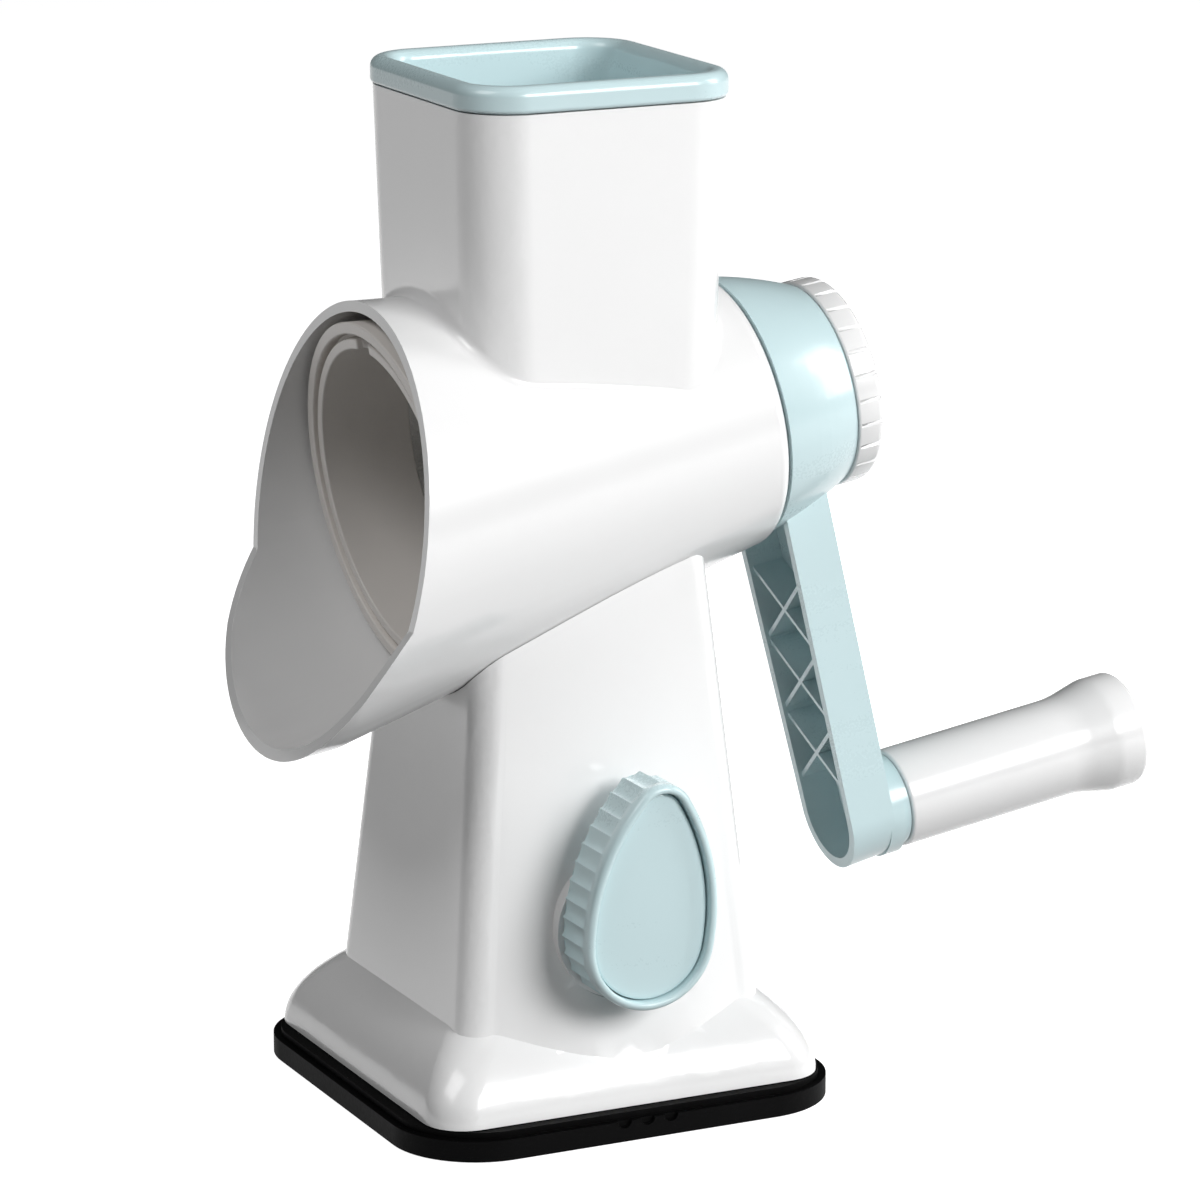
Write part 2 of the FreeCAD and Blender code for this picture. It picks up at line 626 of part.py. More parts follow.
def stand_column():
    wall = d.stand_wall
    outside = fuse("stand_outside", skirt_solid("skirt_skin", 0),
                   column_solid("column_skin", 0, d.skirt_bottom + d.column_foot),
                   rod("lever_boss", d.boss_radius, d.lever_back - column_half(d.lever_height) + wall,
                       (0, -d.lever_back + d.slip_gap, d.lever_height), "y"))
    hollow = fuse("stand_inside", skirt_solid("skirt_hollow", wall),
                  column_solid("column_hollow", wall, d.skirt_bottom - d.past))
    wide = d.skirt_half
    shelf = block("screw_shelf", (-wide, -wide, SHELF),
                  (wide, wide, SHELF + d.shelf_wall))
    ledges = [block("guide_ledge%d" % n, (low, -d.ledge_half, d.guide_height + d.guide_wall),
                    (high, d.ledge_half, d.guide_height + d.guide_wall + d.screw_grip))
              for n, (low, high) in enumerate(((-wide, -d.ledge_start), (d.ledge_start, wide)))]
    posts = corner_posts("pad_post", d.screw_radius * 3, d.pad_screw, d.pad_height + d.ring_wall,
                         d.skirt_height)
    void = cut("stand_void", hollow, shelf, *(ledges + posts))
    pilots = corner_posts("pad_pilot", d.screw_radius + d.screw_gap, d.pad_screw, 0,
                          d.pad_height + d.ring_wall + d.screw_grip)
    pilots += ledge_rods("ledge_pilot", d.screw_radius + d.screw_gap, d.guide_height,
                         d.guide_wall + d.screw_grip)
    pilots += screw_posts("shelf_hole", d.screw_radius + d.hole_gap, SHELF - d.past,
                          d.shelf_wall + d.past * 2)
    bore = rod("boss_bore", d.lever_shaft_radius + d.fit_gap + d.bush_wall, d.lever_back,
               (0, -d.lever_back - d.past, d.lever_height), "y")
    barrel = barrel_solid("barrel_seam", d.seam, d.barrel_rear)
    seat = rod("lever_seat", d.boss_radius + d.slip_gap, d.lever_back,
               (0, -d.lever_back * 2 + d.slip_gap, d.lever_height), "y")
    relief = put(plate("lever_relief", "XZ_Plane", egg_corners(-d.slip_gap), d.lever_depth),
                 (0, -d.lever_back + d.slip_gap, d.lever_height), (0, 1, 0), d.lever_swing)
    column = cut("column", outside, void, barrel, bore, seat, relief, *pilots)
    return named(column, "stand_column")


def ledge_rods(name, radius, bottom, height):
    return [rod("%s%d" % (name, n), radius, height, (d.ledge_screw * side, 0, bottom))
            for n, side in enumerate((-1, 1))]


def screw_group(label, rods, heads):
    """Several equal screws in one node."""
    screws = [fuse("%s_screw%d" % (label, n), shank, head)
              for n, (shank, head) in enumerate(zip(rods, heads))]
    group = doc.addObject("Part::Compound", label + "_group")
    group.Links = screws
    return named(group, label)


def housing_screws():
    length = d.shelf_wall + d.screw_grip
    shanks = screw_posts("housing_shank", d.screw_radius, SHELF, length)
    heads = screw_posts("housing_head", d.head_radius, SHELF - d.head_height, d.head_height)
    return screw_group("housing_screws", shanks, heads)


# ---------------------------------------------------------------- pad and its works

def suction_pad():
    low = loft("pad_low", [(level, rounded_box_corners(PAD_HALF, PAD_HALF, d.pad_corner))
                           for level in (0, d.ledge_height)])
    half = PAD_HALF - d.pad_ledge
    high = loft("pad_high", [(level, rounded_box_corners(half, half, d.pad_corner - d.pad_ledge))
                             for level in (0, d.pad_height)])
    dish = rod("pad_dish", d.dish_radius, d.pad_height, (0, 0, d.pad_web))
    notches = [rod("pad_notch%d" % n, d.notch_radius, d.pad_ledge,
                   (d.notch_pitch * (n - 1), -PAD_HALF - d.past, d.ledge_height), "y")
               for n in range(3)]
    holes = corner_posts("pad_hole", d.screw_radius + d.hole_gap, d.pad_screw, d.pad_web,
                         d.pad_height)
    pockets = corner_posts("pad_pocket", d.head_radius + d.slip_gap, d.pad_screw, 0, d.pad_web)
    pad = cut("pad", fuse("pad_solid", low, high), dish, *(notches + holes + pockets))
    return named(pad, "suction_pad")


def pad_retainer():
    half = d.skirt_half - d.stand_wall - d.ring_inset
    bottom = d.pad_height
    top = d.pad_height + d.ring_wall
    plate_solid = loft("retainer_plate", [(level, rounded_box_corners(half, half, d.skirt_corner))
                                          for level in (bottom, top)])
    window = rod("retainer_window", d.dish_radius - d.ring_inset, d.ring_wall + d.past * 2,
                 (0, 0, bottom - d.past))
    holes = corner_posts("retainer_hole", d.screw_radius + d.hole_gap, d.pad_screw,
                         bottom - d.past, d.ring_wall + d.past * 2)
    return named(cut("retainer", plate_solid, window, *holes), "pad_retainer")


def retainer_screws():
    length = d.pad_height - d.pad_web + d.ring_wall + d.screw_grip - d.past
    shanks = corner_posts("pad_shank", d.screw_radius, d.pad_screw, d.pad_web, length)
    heads = corner_posts("pad_head", d.head_radius, d.pad_screw, d.pad_web - d.head_height,
                         d.head_height)
    return screw_group("retainer_screws", shanks, heads)


def guide_plate():
    """Plate across the column that guides the pull stem, with an ear for the lever's shaft."""
    bottom = d.guide_height
    top = bottom + d.guide_wall
    flat = block("guide_flat", (-d.guide_half, -d.guide_depth, bottom),
                 (d.guide_half, d.guide_depth, top))
    ear = block("guide_ear", (-d.ear_half, d.ear_start, bottom),
                (d.ear_half, d.ear_start + d.guide_wall, d.lever_height + d.ear_half))
    through = d.guide_wall + d.past * 2
    stem = rod("guide_stem_bore", d.stem_radius + d.fit_gap, through, (0, 0, bottom - d.past))
    shaft = rod("guide_shaft_bore", d.lever_shaft_radius + d.fit_gap, through,
                (0, d.ear_start - d.past, d.lever_height), "y")
    holes = ledge_rods("guide_hole", d.screw_radius + d.hole_gap, bottom - d.past, through)
    return named(cut("guide", fuse("guide_solid", flat, ear), stem, shaft, *holes), "guide_plate")


def guide_screws():
    length = d.guide_wall + d.screw_grip - d.past
    shanks = ledge_rods("guide_shank", d.screw_radius, d.guide_height, length)
    heads = ledge_rods("guide_head", d.head_radius, d.guide_height - d.head_height, d.head_height)
    return screw_group("guide_screws", shanks, heads)


def cam_place():
    """Middle of the cam disc at rest, along X and Z."""
    return (-d.cam_throw * cosine(d.cam_angle), d.lever_height - d.cam_throw * sine(d.cam_angle))


def pull_stem():
    """Post with a window frame that rides on the cam."""
    middle = cam_place()[1]
    half = d.cam_radius + d.slip_gap
    side = half + d.cam_throw * 0.6
    frame = block("stem_frame", (-side - d.frame_wall, -d.frame_half, middle - half - d.frame_wall),
                  (side + d.frame_wall, d.frame_half, middle + half + d.frame_wall))
    window = block("stem_window", (-side - d.cam_throw * 0.5, -d.frame_half - d.past, middle - half),
                   (side, d.frame_half + d.past, middle + half))
    foot = d.stem_foot + d.foot_wall
    post = rod("stem_post", d.stem_radius, middle - half - d.frame_wall + d.past - foot, (0, 0, foot))
    return named(fuse("stem", cut("stem_ring", frame, window), post), "pull_stem")


def stem_plate():
    return named(rod("foot_disc", d.foot_radius, d.foot_wall, (0, 0, d.stem_foot)), "stem_plate")


def return_spring():
    """Coil spring between the stem plate and the guide plate."""
    wire = d.wire_radius.value
    bottom = (d.stem_foot + d.foot_wall + d.wire_radius + d.spring_gap).value
    top = (d.guide_height - d.wire_radius - d.spring_gap).value
    radius = (d.stem_radius + d.wire_radius + d.spring_play).value
    helix = Part.makeHelix((top - bottom) / d.spring_turns.value, top - bottom, radius)
    section = Part.Wire(Part.makeCircle(wire, Vector(radius, 0, 0), Vector(0, 1, 0)))
    coil = Part.Wire(helix.Edges).makePipeShell([section], True, True)
    spring = doc.addObject("Part::Feature", "coil")
    spring.Shape = coil
    spring.Placement = Placement(Vector(0, 0, bottom), Rotation())
    return named(spring, "return_spring")


def shaft_bush():
    bush = tube("boss_bush", d.lever_shaft_radius + d.fit_gap + d.bush_wall,
                d.lever_shaft_radius + d.fit_gap, d.bush_length,
                (0, -d.lever_back + d.slip_gap, d.lever_height), "y")
    return named(bush, "shaft_bush")


# ---------------------------------------------------------------- suction lever

def egg_corners(inset):
    """Egg outline: two end circles joined by bowed sides that touch both."""
    big, small = d.lever_radius - inset, d.lever_tip_radius - inset
    side = d.lever_bow - inset
    apart = d.lever_tip - d.lever_tip_radius
    reach_big, reach_small = side - big, side - small
    rise = (reach_big * reach_big - reach_small * reach_small + apart * apart) / (apart * 2)
    offset = root(reach_big * reach_big - rise * rise)
    low_x, low_z = offset * (big / reach_big), -rise * (big / reach_big)
    high_x = offset * (small / reach_small)
    high_z = apart + (apart - rise) * (small / reach_small)
    return [(low_x, low_z, side), (high_x, high_z, small), (-high_x, high_z, side), (-low_x, low_z, big)]


def at_lever(thing):
    """Move a thing drawn about the lever's axis to its place and rest angle."""
    return put(thing, (0, -d.lever_back, d.lever_height), (0, 1, 0), d.lever_turn)


def lever_shell():
    solid = plate("lever_solid", "XZ_Plane", egg_corners(0), d.lever_depth)
    hollow = plate("lever_hollow", "XZ_Plane", egg_corners(d.lever_wall), d.lever_depth,
                   d.lever_depth - d.lever_recess)
    bore = rod("lever_bore", d.lever_shaft_radius + d.fit_gap, d.lever_depth * 3,
               (0, -d.lever_depth * 2, 0), "y")
    return named(at_lever(cut("lever_shell_cut", solid, hollow, bore)), "lever_shell")


def lever_face():
    thickness = d.lever_wall
    face = plate("lever_face_plate", "XZ_Plane", egg_corners(d.lever_wall + d.face_gap), thickness,
                 d.lever_depth - d.face_sink - thickness)
    return named(at_lever(face), "lever_face")


def lever_shaft():
    """Round shaft from inside the lever to the guide plate's ear."""
    start = d.lever_depth - d.lever_recess - d.head_height
    length = d.lever_back + start + d.ear_start + d.guide_wall + d.shaft_end
    bar = rod("lever_bar", d.lever_shaft_radius, length, (0, -d.lever_back - start, d.lever_height), "y")
    return named(bar, "lever_shaft")


def lever_screw():
    start = d.lever_depth - d.lever_recess
    head = rod("lever_screw_head", d.lever_shaft_radius + d.bush_wall, d.head_height,
               (0, -d.lever_back - start - d.head_height, d.lever_height), "y")
    neck = rod("lever_screw_neck", d.screw_radius, d.head_height,
               (0, -d.lever_back - start, d.lever_height), "y")
    return named(fuse("lever_screw_solid", head, neck), "lever_screw")


def lever_cam():
    along_x, along_z = cam_place()
    disc = rod("cam_disc", d.cam_radius, d.frame_half * 2, (along_x, -d.frame_half, along_z), "y")
    bore = rod("cam_bore", d.lever_shaft_radius + d.fit_gap, d.frame_half * 4,
               (0, -d.frame_half * 2, d.lever_height), "y")
    return named(cut("cam_cut", disc, bore), "lever_cam")


def cam_clips():
    """Two retaining rings that hold the cam on its shaft."""
    starts = (-d.frame_half - d.cam_clip_wall - d.slip_gap, d.frame_half + d.slip_gap)
    rings = [tube("cam_ring%d" % n, d.lever_shaft_radius + d.cam_clip_rim,
                  d.lever_shaft_radius + d.fit_gap, d.cam_clip_wall, (0, start, d.lever_height), "y")
             for n, start in enumerate(starts)]
    group = doc.addObject("Part::Compound", "cam_ring_group")
    group.Links = rings
    return named(group, "cam_clips")


# ---------------------------------------------------------------- food pusher

def food_pusher():
    inset = d.hopper_wall + d.pusher_gap
    bottom = HOPPER_TOP - d.pusher_depth
    top = HOPPER_TOP + d.seat_gap
    crown = top + d.rim_height
    outside = hopper_solid("pusher_skin", inset, bottom, top + d.past)
    grow = d.rim_overhang
    rim_corners = rounded_box_corners(d.hopper_half_x + grow, d.hopper_half_y + grow,
                                      d.hopper_corner + grow, d.hopper_centre)
    rim = loft("pusher_rim", [(top, rim_corners), (crown, rim_corners)])
    inside = hopper_solid("pusher_hollow", inset + d.pusher_wall, bottom + d.pusher_wall,
                          crown + d.past)
    solid = cut("pusher_raw", fuse("pusher_solid", outside, rim), inside)
    wide = (d.hopper_half_y - d.hopper_wall).value

    def at_level(edge, level):
        box = edge.BoundBox
        return max(abs(box.ZMin - level.value), abs(box.ZMax - level.value)) < 0.01

    def on_crown(edge):
        return at_level(edge, crown)

    def on_outer_edge(edge):
        box = edge.BoundBox
        reach = max(abs(box.YMin), abs(box.YMax), abs(box.XMin), abs(box.XMax))
        return at_level(edge, top) and reach > wide

    soft = rounded("pusher_crown", solid, d.rim_round, on_crown)
    soft = rounded("pusher_under", soft, d.rim_round * 0.4, on_outer_edge)
    return named(soft, "food_pusher")


# ---------------------------------------------------------------- drum

def drum_radius(along):
    """Outer radius of the drum at a place along its axis."""
    return barrel_radius(along) - d.barrel_wall - d.drum_gap


def drum_front_ring():
    """Deep ring whose front edge steps in two lips."""
    front, end = d.drum_front, d.drum_ring_end
    edge = drum_radius(front)
    lap = end - d.sheet_overlap
    sheet = drum_radius(lap) - d.sheet_inset + d.fit_gap
    outer = edge - d.outer_lip
    groove = outer - d.lip_groove
    inner = groove - d.inner_lip
    ring = lathe("ring_body", [
        (front, outer), (front, edge), (end, drum_radius(end)),
        (end, drum_radius(end) - d.sheet_inset + d.fit_gap), (lap, sheet),
        (lap, sheet - d.sheet_wall - d.lap_wall), (front + d.lip_step, inner),
        (front + d.lip_step, groove), (front + d.lip_depth, groove), (front + d.lip_depth, outer)])
    half = d.ring_notch / 2
    notches = [block("ring_notch%d" % n, (front - d.past, -half, low),
                     (front + d.lip_depth, half, low + d.ring_notch / 2))
               for n, low in enumerate((inner - d.past, -inner + d.past - d.ring_notch / 2))]
    return named(on_axis(cut("ring_cut", ring, *notches)), "drum_front_ring")


def drum_grating_sheet():
    """Steel cone between the front ring and the rear hub."""
    start = d.drum_ring_end - d.sheet_overlap
    end = d.drum_rear - d.drum_hub_length + d.sheet_overlap
    low = drum_radius(end) - d.sheet_inset
    high = drum_radius(start) - d.sheet_inset
    wall = d.sheet_wall
    sheet = lathe("sheet_body", [(start, high - wall), (end, low - wall), (end, low), (start, high)])
    return named(on_axis(sheet), "drum_grating_sheet")


def drum_rear_hub():
    start = d.drum_rear - d.drum_hub_length
    seat = start + d.sheet_overlap
    end = d.drum_rear
    wall = d.drum_hub_wall
    inner = drum_radius(start) - d.sheet_inset - d.sheet_wall - d.fit_gap
    inner_seat = drum_radius(seat) - d.sheet_inset - d.sheet_wall - d.fit_gap
    core = d.socket_radius + d.socket_wall
    cup = lathe("drum_hub_body", [
        (start, inner - wall), (end - wall, drum_radius(end) - wall * 2), (end - wall, core),
        (start, core), (start, 0), (end, 0), (end, drum_radius(end)),
        (seat + d.fit_gap, drum_radius(seat)), (seat + d.fit_gap, inner_seat), (start, inner)])
    bore = rod("drum_socket_bore", d.socket_radius + d.fit_gap, d.drum_hub_length + d.past * 2,
               (start - d.past, 0, 0), "x")
    return named(on_axis(cut("drum_hub_cut", cup, bore)), "drum_rear_hub")


def drum_drive_socket():
    start = d.drum_rear - d.drum_hub_length
    barrel = rod("socket_body", d.socket_radius, d.drum_hub_length, (start, 0, 0), "x")
    key = hexagon("socket_hexagon", d.hex_flat + d.hex_gap, d.drum_hub_length + d.past * 2,
                  (start - d.past, 0, 0))
    return named(on_axis(cut("socket_cut", barrel, key)), "drum_drive_socket")


# ---------------------------------------------------------------- shaft, bush and crank

def bearing_bush():
    start = d.barrel_rear - d.rear_wall
    outer = d.shaft_radius + d.fit_gap + d.bush_wall
    bush = tube("rear_bush", outer, d.shaft_radius + d.fit_gap, d.rear_wall, (start, 0, 0), "x")
    return named(on_axis(bush), "bearing_bush")


def drive_shaft():
    """Hexagon shaft with a round journal and a plain end for the lock nut."""
    inner = d.barrel_rear - d.rear_wall - d.clip_wall - d.slip_gap * 2
    start = d.drum_rear - d.drum_hub_length + d.past
    hub_start = d.hub_front + d.core_gap
    front_key = hexagon("shaft_front_hexagon", d.hex_flat, inner - start, (start, 0, 0))
    journal = rod("shaft_journal", d.shaft_radius, hub_start - inner, (inner, 0, 0), "x")
    rear_key = hexagon("shaft_rear_hexagon", d.hex_flat, d.hub_rear - hub_start, (hub_start, 0, 0))
    tail = rod("shaft_tail", d.tail_radius, d.tail_length, (d.hub_rear, 0, 0), "x")
    return named(on_axis(fuse("shaft_solid", front_key, journal, rear_key, tail)), "drive_shaft")


def shaft_clip():
    start = d.barrel_rear - d.rear_wall - d.clip_wall - d.slip_gap
    clip = tube("journal_clip", d.shaft_radius + d.clip_rim, d.shaft_radius + d.fit_gap, d.clip_wall,
                (start, 0, 0), "x")
    return named(on_axis(clip), "shaft_clip")


def thrust_washer():
    washer = tube("hub_washer", d.hub_core, d.shaft_radius + d.slip_gap, d.washer_wall,
                  (d.barrel_rear + d.washer_gap, 0, 0), "x")
    return named(on_axis(washer), "thrust_washer")


def arm_corners(inset):
    """Arm outline seen along the axis, from the hub down to the round foot."""
    half, foot = d.arm_top_half - inset, d.arm_foot - inset
    length = d.crank_length
    return [(half, -d.arm_start), (-half, -d.arm_start), (-foot, -length, foot),
            (0, -length - foot, foot), (foot, -length)]


def arm_plate(name, inset, start, depth):
    """Slab of the arm, leaning outwards towards the foot, starting behind its open face."""
    face = d.arm_face - d.crank_length * tangent(d.arm_lean) + start
    return plate(name, "YZ_Plane", arm_corners(inset), depth, face, -d.arm_lean)


def axle_start():
    """Where the grip's axle starts in the wall behind the arm's channel, along the axis."""
    return d.arm_face + d.arm_depth - d.arm_wall + d.web_cover


def arm_ribs():
    """Crossed ribs that fill the arm's channel."""
    bars = []
    pitch = d.rib_pitch
    width = d.arm_foot * 2
    slope = Size(math.degrees(math.atan2(pitch.value, width.value)),
                 "(atan2(%s; %s) / 1 deg)" % (pitch.text, width.text))
    for cell in range(3):
        level = -d.rib_start - pitch * (cell + 0.5)
        for side in (-1, 1):
            bar = doc.addObject("Part::Box", "rib%d_%s" % (cell, "left" if side < 0 else "right"))
            bind(bar, "Length", d.arm_depth * 3)
            bind(bar, "Width", width * 2)
            bind(bar, "Height", d.rib_wall)
            put(bar, (d.arm_face - d.arm_depth * 2,
                      -width * cosine(slope), level - width * sine(slope) * side),
                (1, 0, 0), slope * side)
            bars.append(bar)
    return bars


def crank_arm():
    wall = d.hub_wall
    rear = d.hub_rear
    core_start = d.hub_front + d.core_gap
    cap = lathe("hub_cap", [
        (d.hub_front, d.hub_front_radius - wall), (rear - wall, d.hub_rear_radius - wall),
        (rear - wall, d.hub_core), (core_start, d.hub_core), (core_start, 0),
        (rear, 0), (rear, d.hub_rear_radius, d.hub_bow), (d.hub_front, d.hub_front_radius)])
    solid = arm_plate("arm_slab", 0, 0, d.arm_depth)
    channel = arm_plate("arm_channel", d.arm_wall, -d.past, d.arm_depth - d.arm_wall + d.past)
    rib_room = arm_plate("arm_rib_room", d.arm_wall / 2, d.hatch_gap, d.arm_depth - d.arm_wall)
    bars = arm_ribs()
    ribs = common("rib_set", fuse("rib_bars", *bars), rib_room)
    foot_end = d.arm_face + d.arm_depth - d.past
    collar = fuse("collar", rod("collar_wide", d.collar_radius, d.collar_end - foot_end - d.collar_step,
                                (foot_end, 0, -d.crank_length), "x"),
                  rod("collar_narrow", d.collar_radius - d.collar_lip, d.collar_end - foot_end,
                      (foot_end, 0, -d.crank_length), "x"))
    thread = rod("axle_hole", d.grip_bolt + d.fit_gap, d.collar_end,
                 (axle_start(), 0, -d.crank_length), "x")
    inside = cone("hub_clearance", d.hub_front_radius - wall, d.hub_rear_radius - wall,
                  rear - wall - d.hub_front, (d.hub_front, 0, 0), "x")
    hollow_arm = cut("arm_hollow", fuse("arm_solid", solid, collar), channel)
    arm = cut("arm_drilled", fuse("arm_ribbed", hollow_arm, ribs), thread)
    arm = put(cut("arm_trimmed", arm, inside), (0, 0, 0), (-1, 0, 0), d.crank_turn)
    key = hexagon("hub_key", d.hex_flat + d.fit_gap, rear, (d.hub_front - d.past, 0, 0))
    return named(on_axis(cut("crank_cut", fuse("crank_solid", cap, arm), key)), "crank_arm")


# ---------------------------------------------------------------- lock knob

def lock_knob():
    start = d.hub_rear + d.slip_gap
    end = start + d.lock_depth
    rim = d.lock_radius
    soft = d.knob_soft
    dish = end - d.knob_dish
    knob = lathe("knob_body", [
        (start, 0), (dish, 0), (dish, rim - d.knob_rim), (end, rim - d.knob_rim), (end, rim - soft, soft),
        (end - soft, rim), (start + d.knob_edge, rim), (start, rim - d.knob_edge)])
    pocket = hexagon("nut_pocket", d.nut_half + d.fit_gap, d.nut_height + d.past, (start - d.past, 0, 0))
    hole = rod("knob_hole", d.tail_radius + d.slip_gap, d.tail_length + d.past, (start - d.past, 0, 0), "x")
    return named(on_axis(cut("knob_cut", knob, pocket, hole)), "lock_knob")


def lock_nut():
    start = d.hub_rear + d.slip_gap
    nut = cut("nut_cut", hexagon("nut_body", d.nut_half, d.nut_height - d.nut_play, (start, 0, 0)),
              rod("nut_bore", d.tail_radius + d.fit_gap, d.nut_height + d.past * 2,
                  (start - d.past, 0, 0), "x"))
    return named(on_axis(nut), "lock_nut")


# ---------------------------------------------------------------- grip

def at_handle(thing, label):
    """Move a thing drawn about the barrel axis to the handle's place on the crank."""
    side = sine(d.crank_turn) * d.crank_length
    drop = cosine(d.crank_turn) * d.crank_length
    across = drop * sine(d.axis_tilt)
    down = drop * cosine(d.axis_tilt)
    return named(put(thing, (across, -side, d.axis_height - down), (0, -1, 0), d.axis_tilt), label)


def grip_sleeve():
    start = d.collar_end + d.slip_gap
    end = d.grip_end
    wide, slim = d.grip_flare, d.grip_radius
    bore = d.grip_bolt + d.fit_gap
    seat = end - d.cap_depth
    room = d.grip_head + d.grip_edge
    edge, soft = d.grip_edge, d.grip_soft
    sleeve = lathe("sleeve_body", [
        (start, bore), (seat - d.head_room, bore), (seat - d.head_room, room), (seat, room),
        (seat, wide - d.cap_inset), (end, wide - d.cap_inset), (end, wide - soft, soft),
        (end - soft, wide), (end - d.flare_end, wide, d.flare_bow), (end - d.flare_start, slim),
        (start + edge, slim), (start, slim - edge)])
    return at_handle(sleeve, "grip_sleeve")


def grip_end_cap():
    seat = d.grip_end - d.cap_depth
    cap = disc("cap_disc", d.grip_flare - d.cap_inset - d.fit_gap, seat, d.grip_end - d.cap_sink)
    return at_handle(cap, "grip_end_cap")


def grip_axle():
    seat = d.grip_end - d.cap_depth
    head_start = seat - d.head_room + d.washer_wall + d.head_slack
    start = axle_start()
    bolt = fuse("axle_solid", rod("axle_shank", d.grip_bolt, head_start - start, (start, 0, 0), "x"),
                rod("axle_head", d.grip_head, d.head_depth, (head_start, 0, 0), "x"))
    return at_handle(bolt, "grip_axle")


def grip_washer():
    seat = d.grip_end - d.cap_depth
    washer = tube("axle_washer", d.grip_head, d.grip_bolt + d.fit_gap, d.washer_wall,
                  (seat - d.head_room + d.washer_gap, 0, 0), "x")
    return at_handle(washer, "grip_washer")


# ---------------------------------------------------------------- build, check and write

PIECES = [
    barrel_housing, stand_column, housing_screws, suction_pad, pad_retainer, retainer_screws,
    guide_plate, guide_screws, shaft_bush, pull_stem, stem_plate, return_spring, lever_shell,
    lever_face, lever_screw, lever_shaft, lever_cam, cam_clips, food_pusher, drum_front_ring,
    drum_grating_sheet, drum_rear_hub, drum_drive_socket, bearing_bush, drive_shaft, shaft_clip,
    thrust_washer, crank_arm, lock_knob, lock_nut, grip_sleeve, grip_end_cap, grip_axle, grip_washer,
]


def main():
    pieces = [make() for make in PIECES]
    doc.recompute()
    for thing in doc.Objects:
        if "Invalid" in thing.State or "Error" in thing.State:
            raise RuntimeError("%s failed: %s" % (thing.Name, thing.State))
    for piece in pieces:
        if piece.Shape.isNull() or not piece.Shape.isValid():
            raise RuntimeError(piece.Label + " has a bad shape")
    os.makedirs("parts", exist_ok=True)
    for piece in pieces:
        piece.Shape.exportStep("parts/%s.step" % piece.Label)
        print(piece.Label, len(piece.Shape.Solids), round(piece.Shape.Volume))


main()
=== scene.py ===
"""Rotary cheese grater: moulded plastic shells, fluted knobs and a punched drum around its CAD frame.

World frame, in metres: +Z up, +X along the barrel towards the crank, -Y towards the suction lever.
Lathed pieces are drawn in the barrel frame, whose X runs along the barrel's axis, and moved once.
"""

import json
import math

import bmesh
import bpy
from mathutils import Matrix, Vector


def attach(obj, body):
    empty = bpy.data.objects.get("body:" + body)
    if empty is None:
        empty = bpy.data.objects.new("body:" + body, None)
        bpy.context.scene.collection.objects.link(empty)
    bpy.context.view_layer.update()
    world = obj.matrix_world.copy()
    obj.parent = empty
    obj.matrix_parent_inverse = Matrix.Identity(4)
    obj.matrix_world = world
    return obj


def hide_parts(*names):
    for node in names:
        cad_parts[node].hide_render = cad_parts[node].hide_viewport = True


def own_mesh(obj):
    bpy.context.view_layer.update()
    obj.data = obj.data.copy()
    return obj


bl_info = {
    "name": "Rotary Grater",
    "version": (1, 0, 0),
    "blender": (4, 5, 0),
    "location": "View3D > Sidebar > Grater",
    "description": "Builds the shells, drum, crank and suction lever of a rotary grater",
    "category": "Object",
}

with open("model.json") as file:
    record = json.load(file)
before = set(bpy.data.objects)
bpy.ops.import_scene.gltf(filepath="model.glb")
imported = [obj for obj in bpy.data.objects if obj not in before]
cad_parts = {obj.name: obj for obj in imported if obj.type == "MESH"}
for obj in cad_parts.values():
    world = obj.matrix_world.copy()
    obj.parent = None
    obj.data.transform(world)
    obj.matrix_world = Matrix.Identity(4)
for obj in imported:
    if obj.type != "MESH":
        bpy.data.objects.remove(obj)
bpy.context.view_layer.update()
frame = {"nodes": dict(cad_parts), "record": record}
MM = 0.001

# The barrel's axis, and the crank and lever that turn about their own axes
AXIS_HEIGHT = 176.6 * MM
AXIS_TILT = math.radians(9.04)
CRANK_TURN = math.radians(3.72)
CRANK_LENGTH = 123.6 * MM
LEVER_AXIS = Vector((0, -49.6, 56.0)) * MM
LEVER_TURN = math.radians(6.0)

# Hopper and barrel cone, where the fillet between them runs
HOPPER_TOP = 278.0 * MM
HOPPER_CENTRE = 1.1 * MM
HOPPER_HALF_X, HOPPER_HALF_Y = 39.2 * MM, 40.6 * MM
HOPPER_CORNER = 15.5 * MM
HOPPER_DRAFT = 0.025
CONE_SLOPE = 0.16
CONE_REAR, CONE_REAR_RADIUS = 56.4 * MM, 38.6 * MM
ROOT_LOW, ROOT_HIGH = 180 * MM, 245 * MM
HALVINGS = 34

# Grating sheet: its outer radius where it would cross the middle, its ends and its wall
SHEET_RADIUS = 40.69 * MM
SHEET_START, SHEET_END = -21.0 * MM, 36.5 * MM
SHEET_WALL = 0.8 * MM
SHEET_BAND = 0.08

# Lever outline, in millimetres: big end, tip, bowed sides and the distance between the ends
EGG_BIG, EGG_SMALL, EGG_SIDE, EGG_APART = 19.2, 9.0, 60.0, 34.6
COVE_START, COVE_DEPTH = 11.6, 2.2

# Half widths of a groove or flute as a share of their spacing
KNOB_GROOVE_WIDTH = 0.07
FLUTE_WIDTH = 0.5

BARREL = Matrix.Translation((0, 0, AXIS_HEIGHT)) @ Matrix.Rotation(-AXIS_TILT, 4, "Y")
HANDLE = BARREL @ Matrix.Rotation(-CRANK_TURN, 4, "X") @ Matrix.Translation((0, 0, -CRANK_LENGTH))
LEVER = Matrix.Translation(LEVER_AXIS) @ Matrix.Rotation(LEVER_TURN, 4, "Y")
LEVER_DRAWN = LEVER @ Matrix.Rotation(math.radians(90), 4, "Z")


# ---------------------------------------------------------------- settings

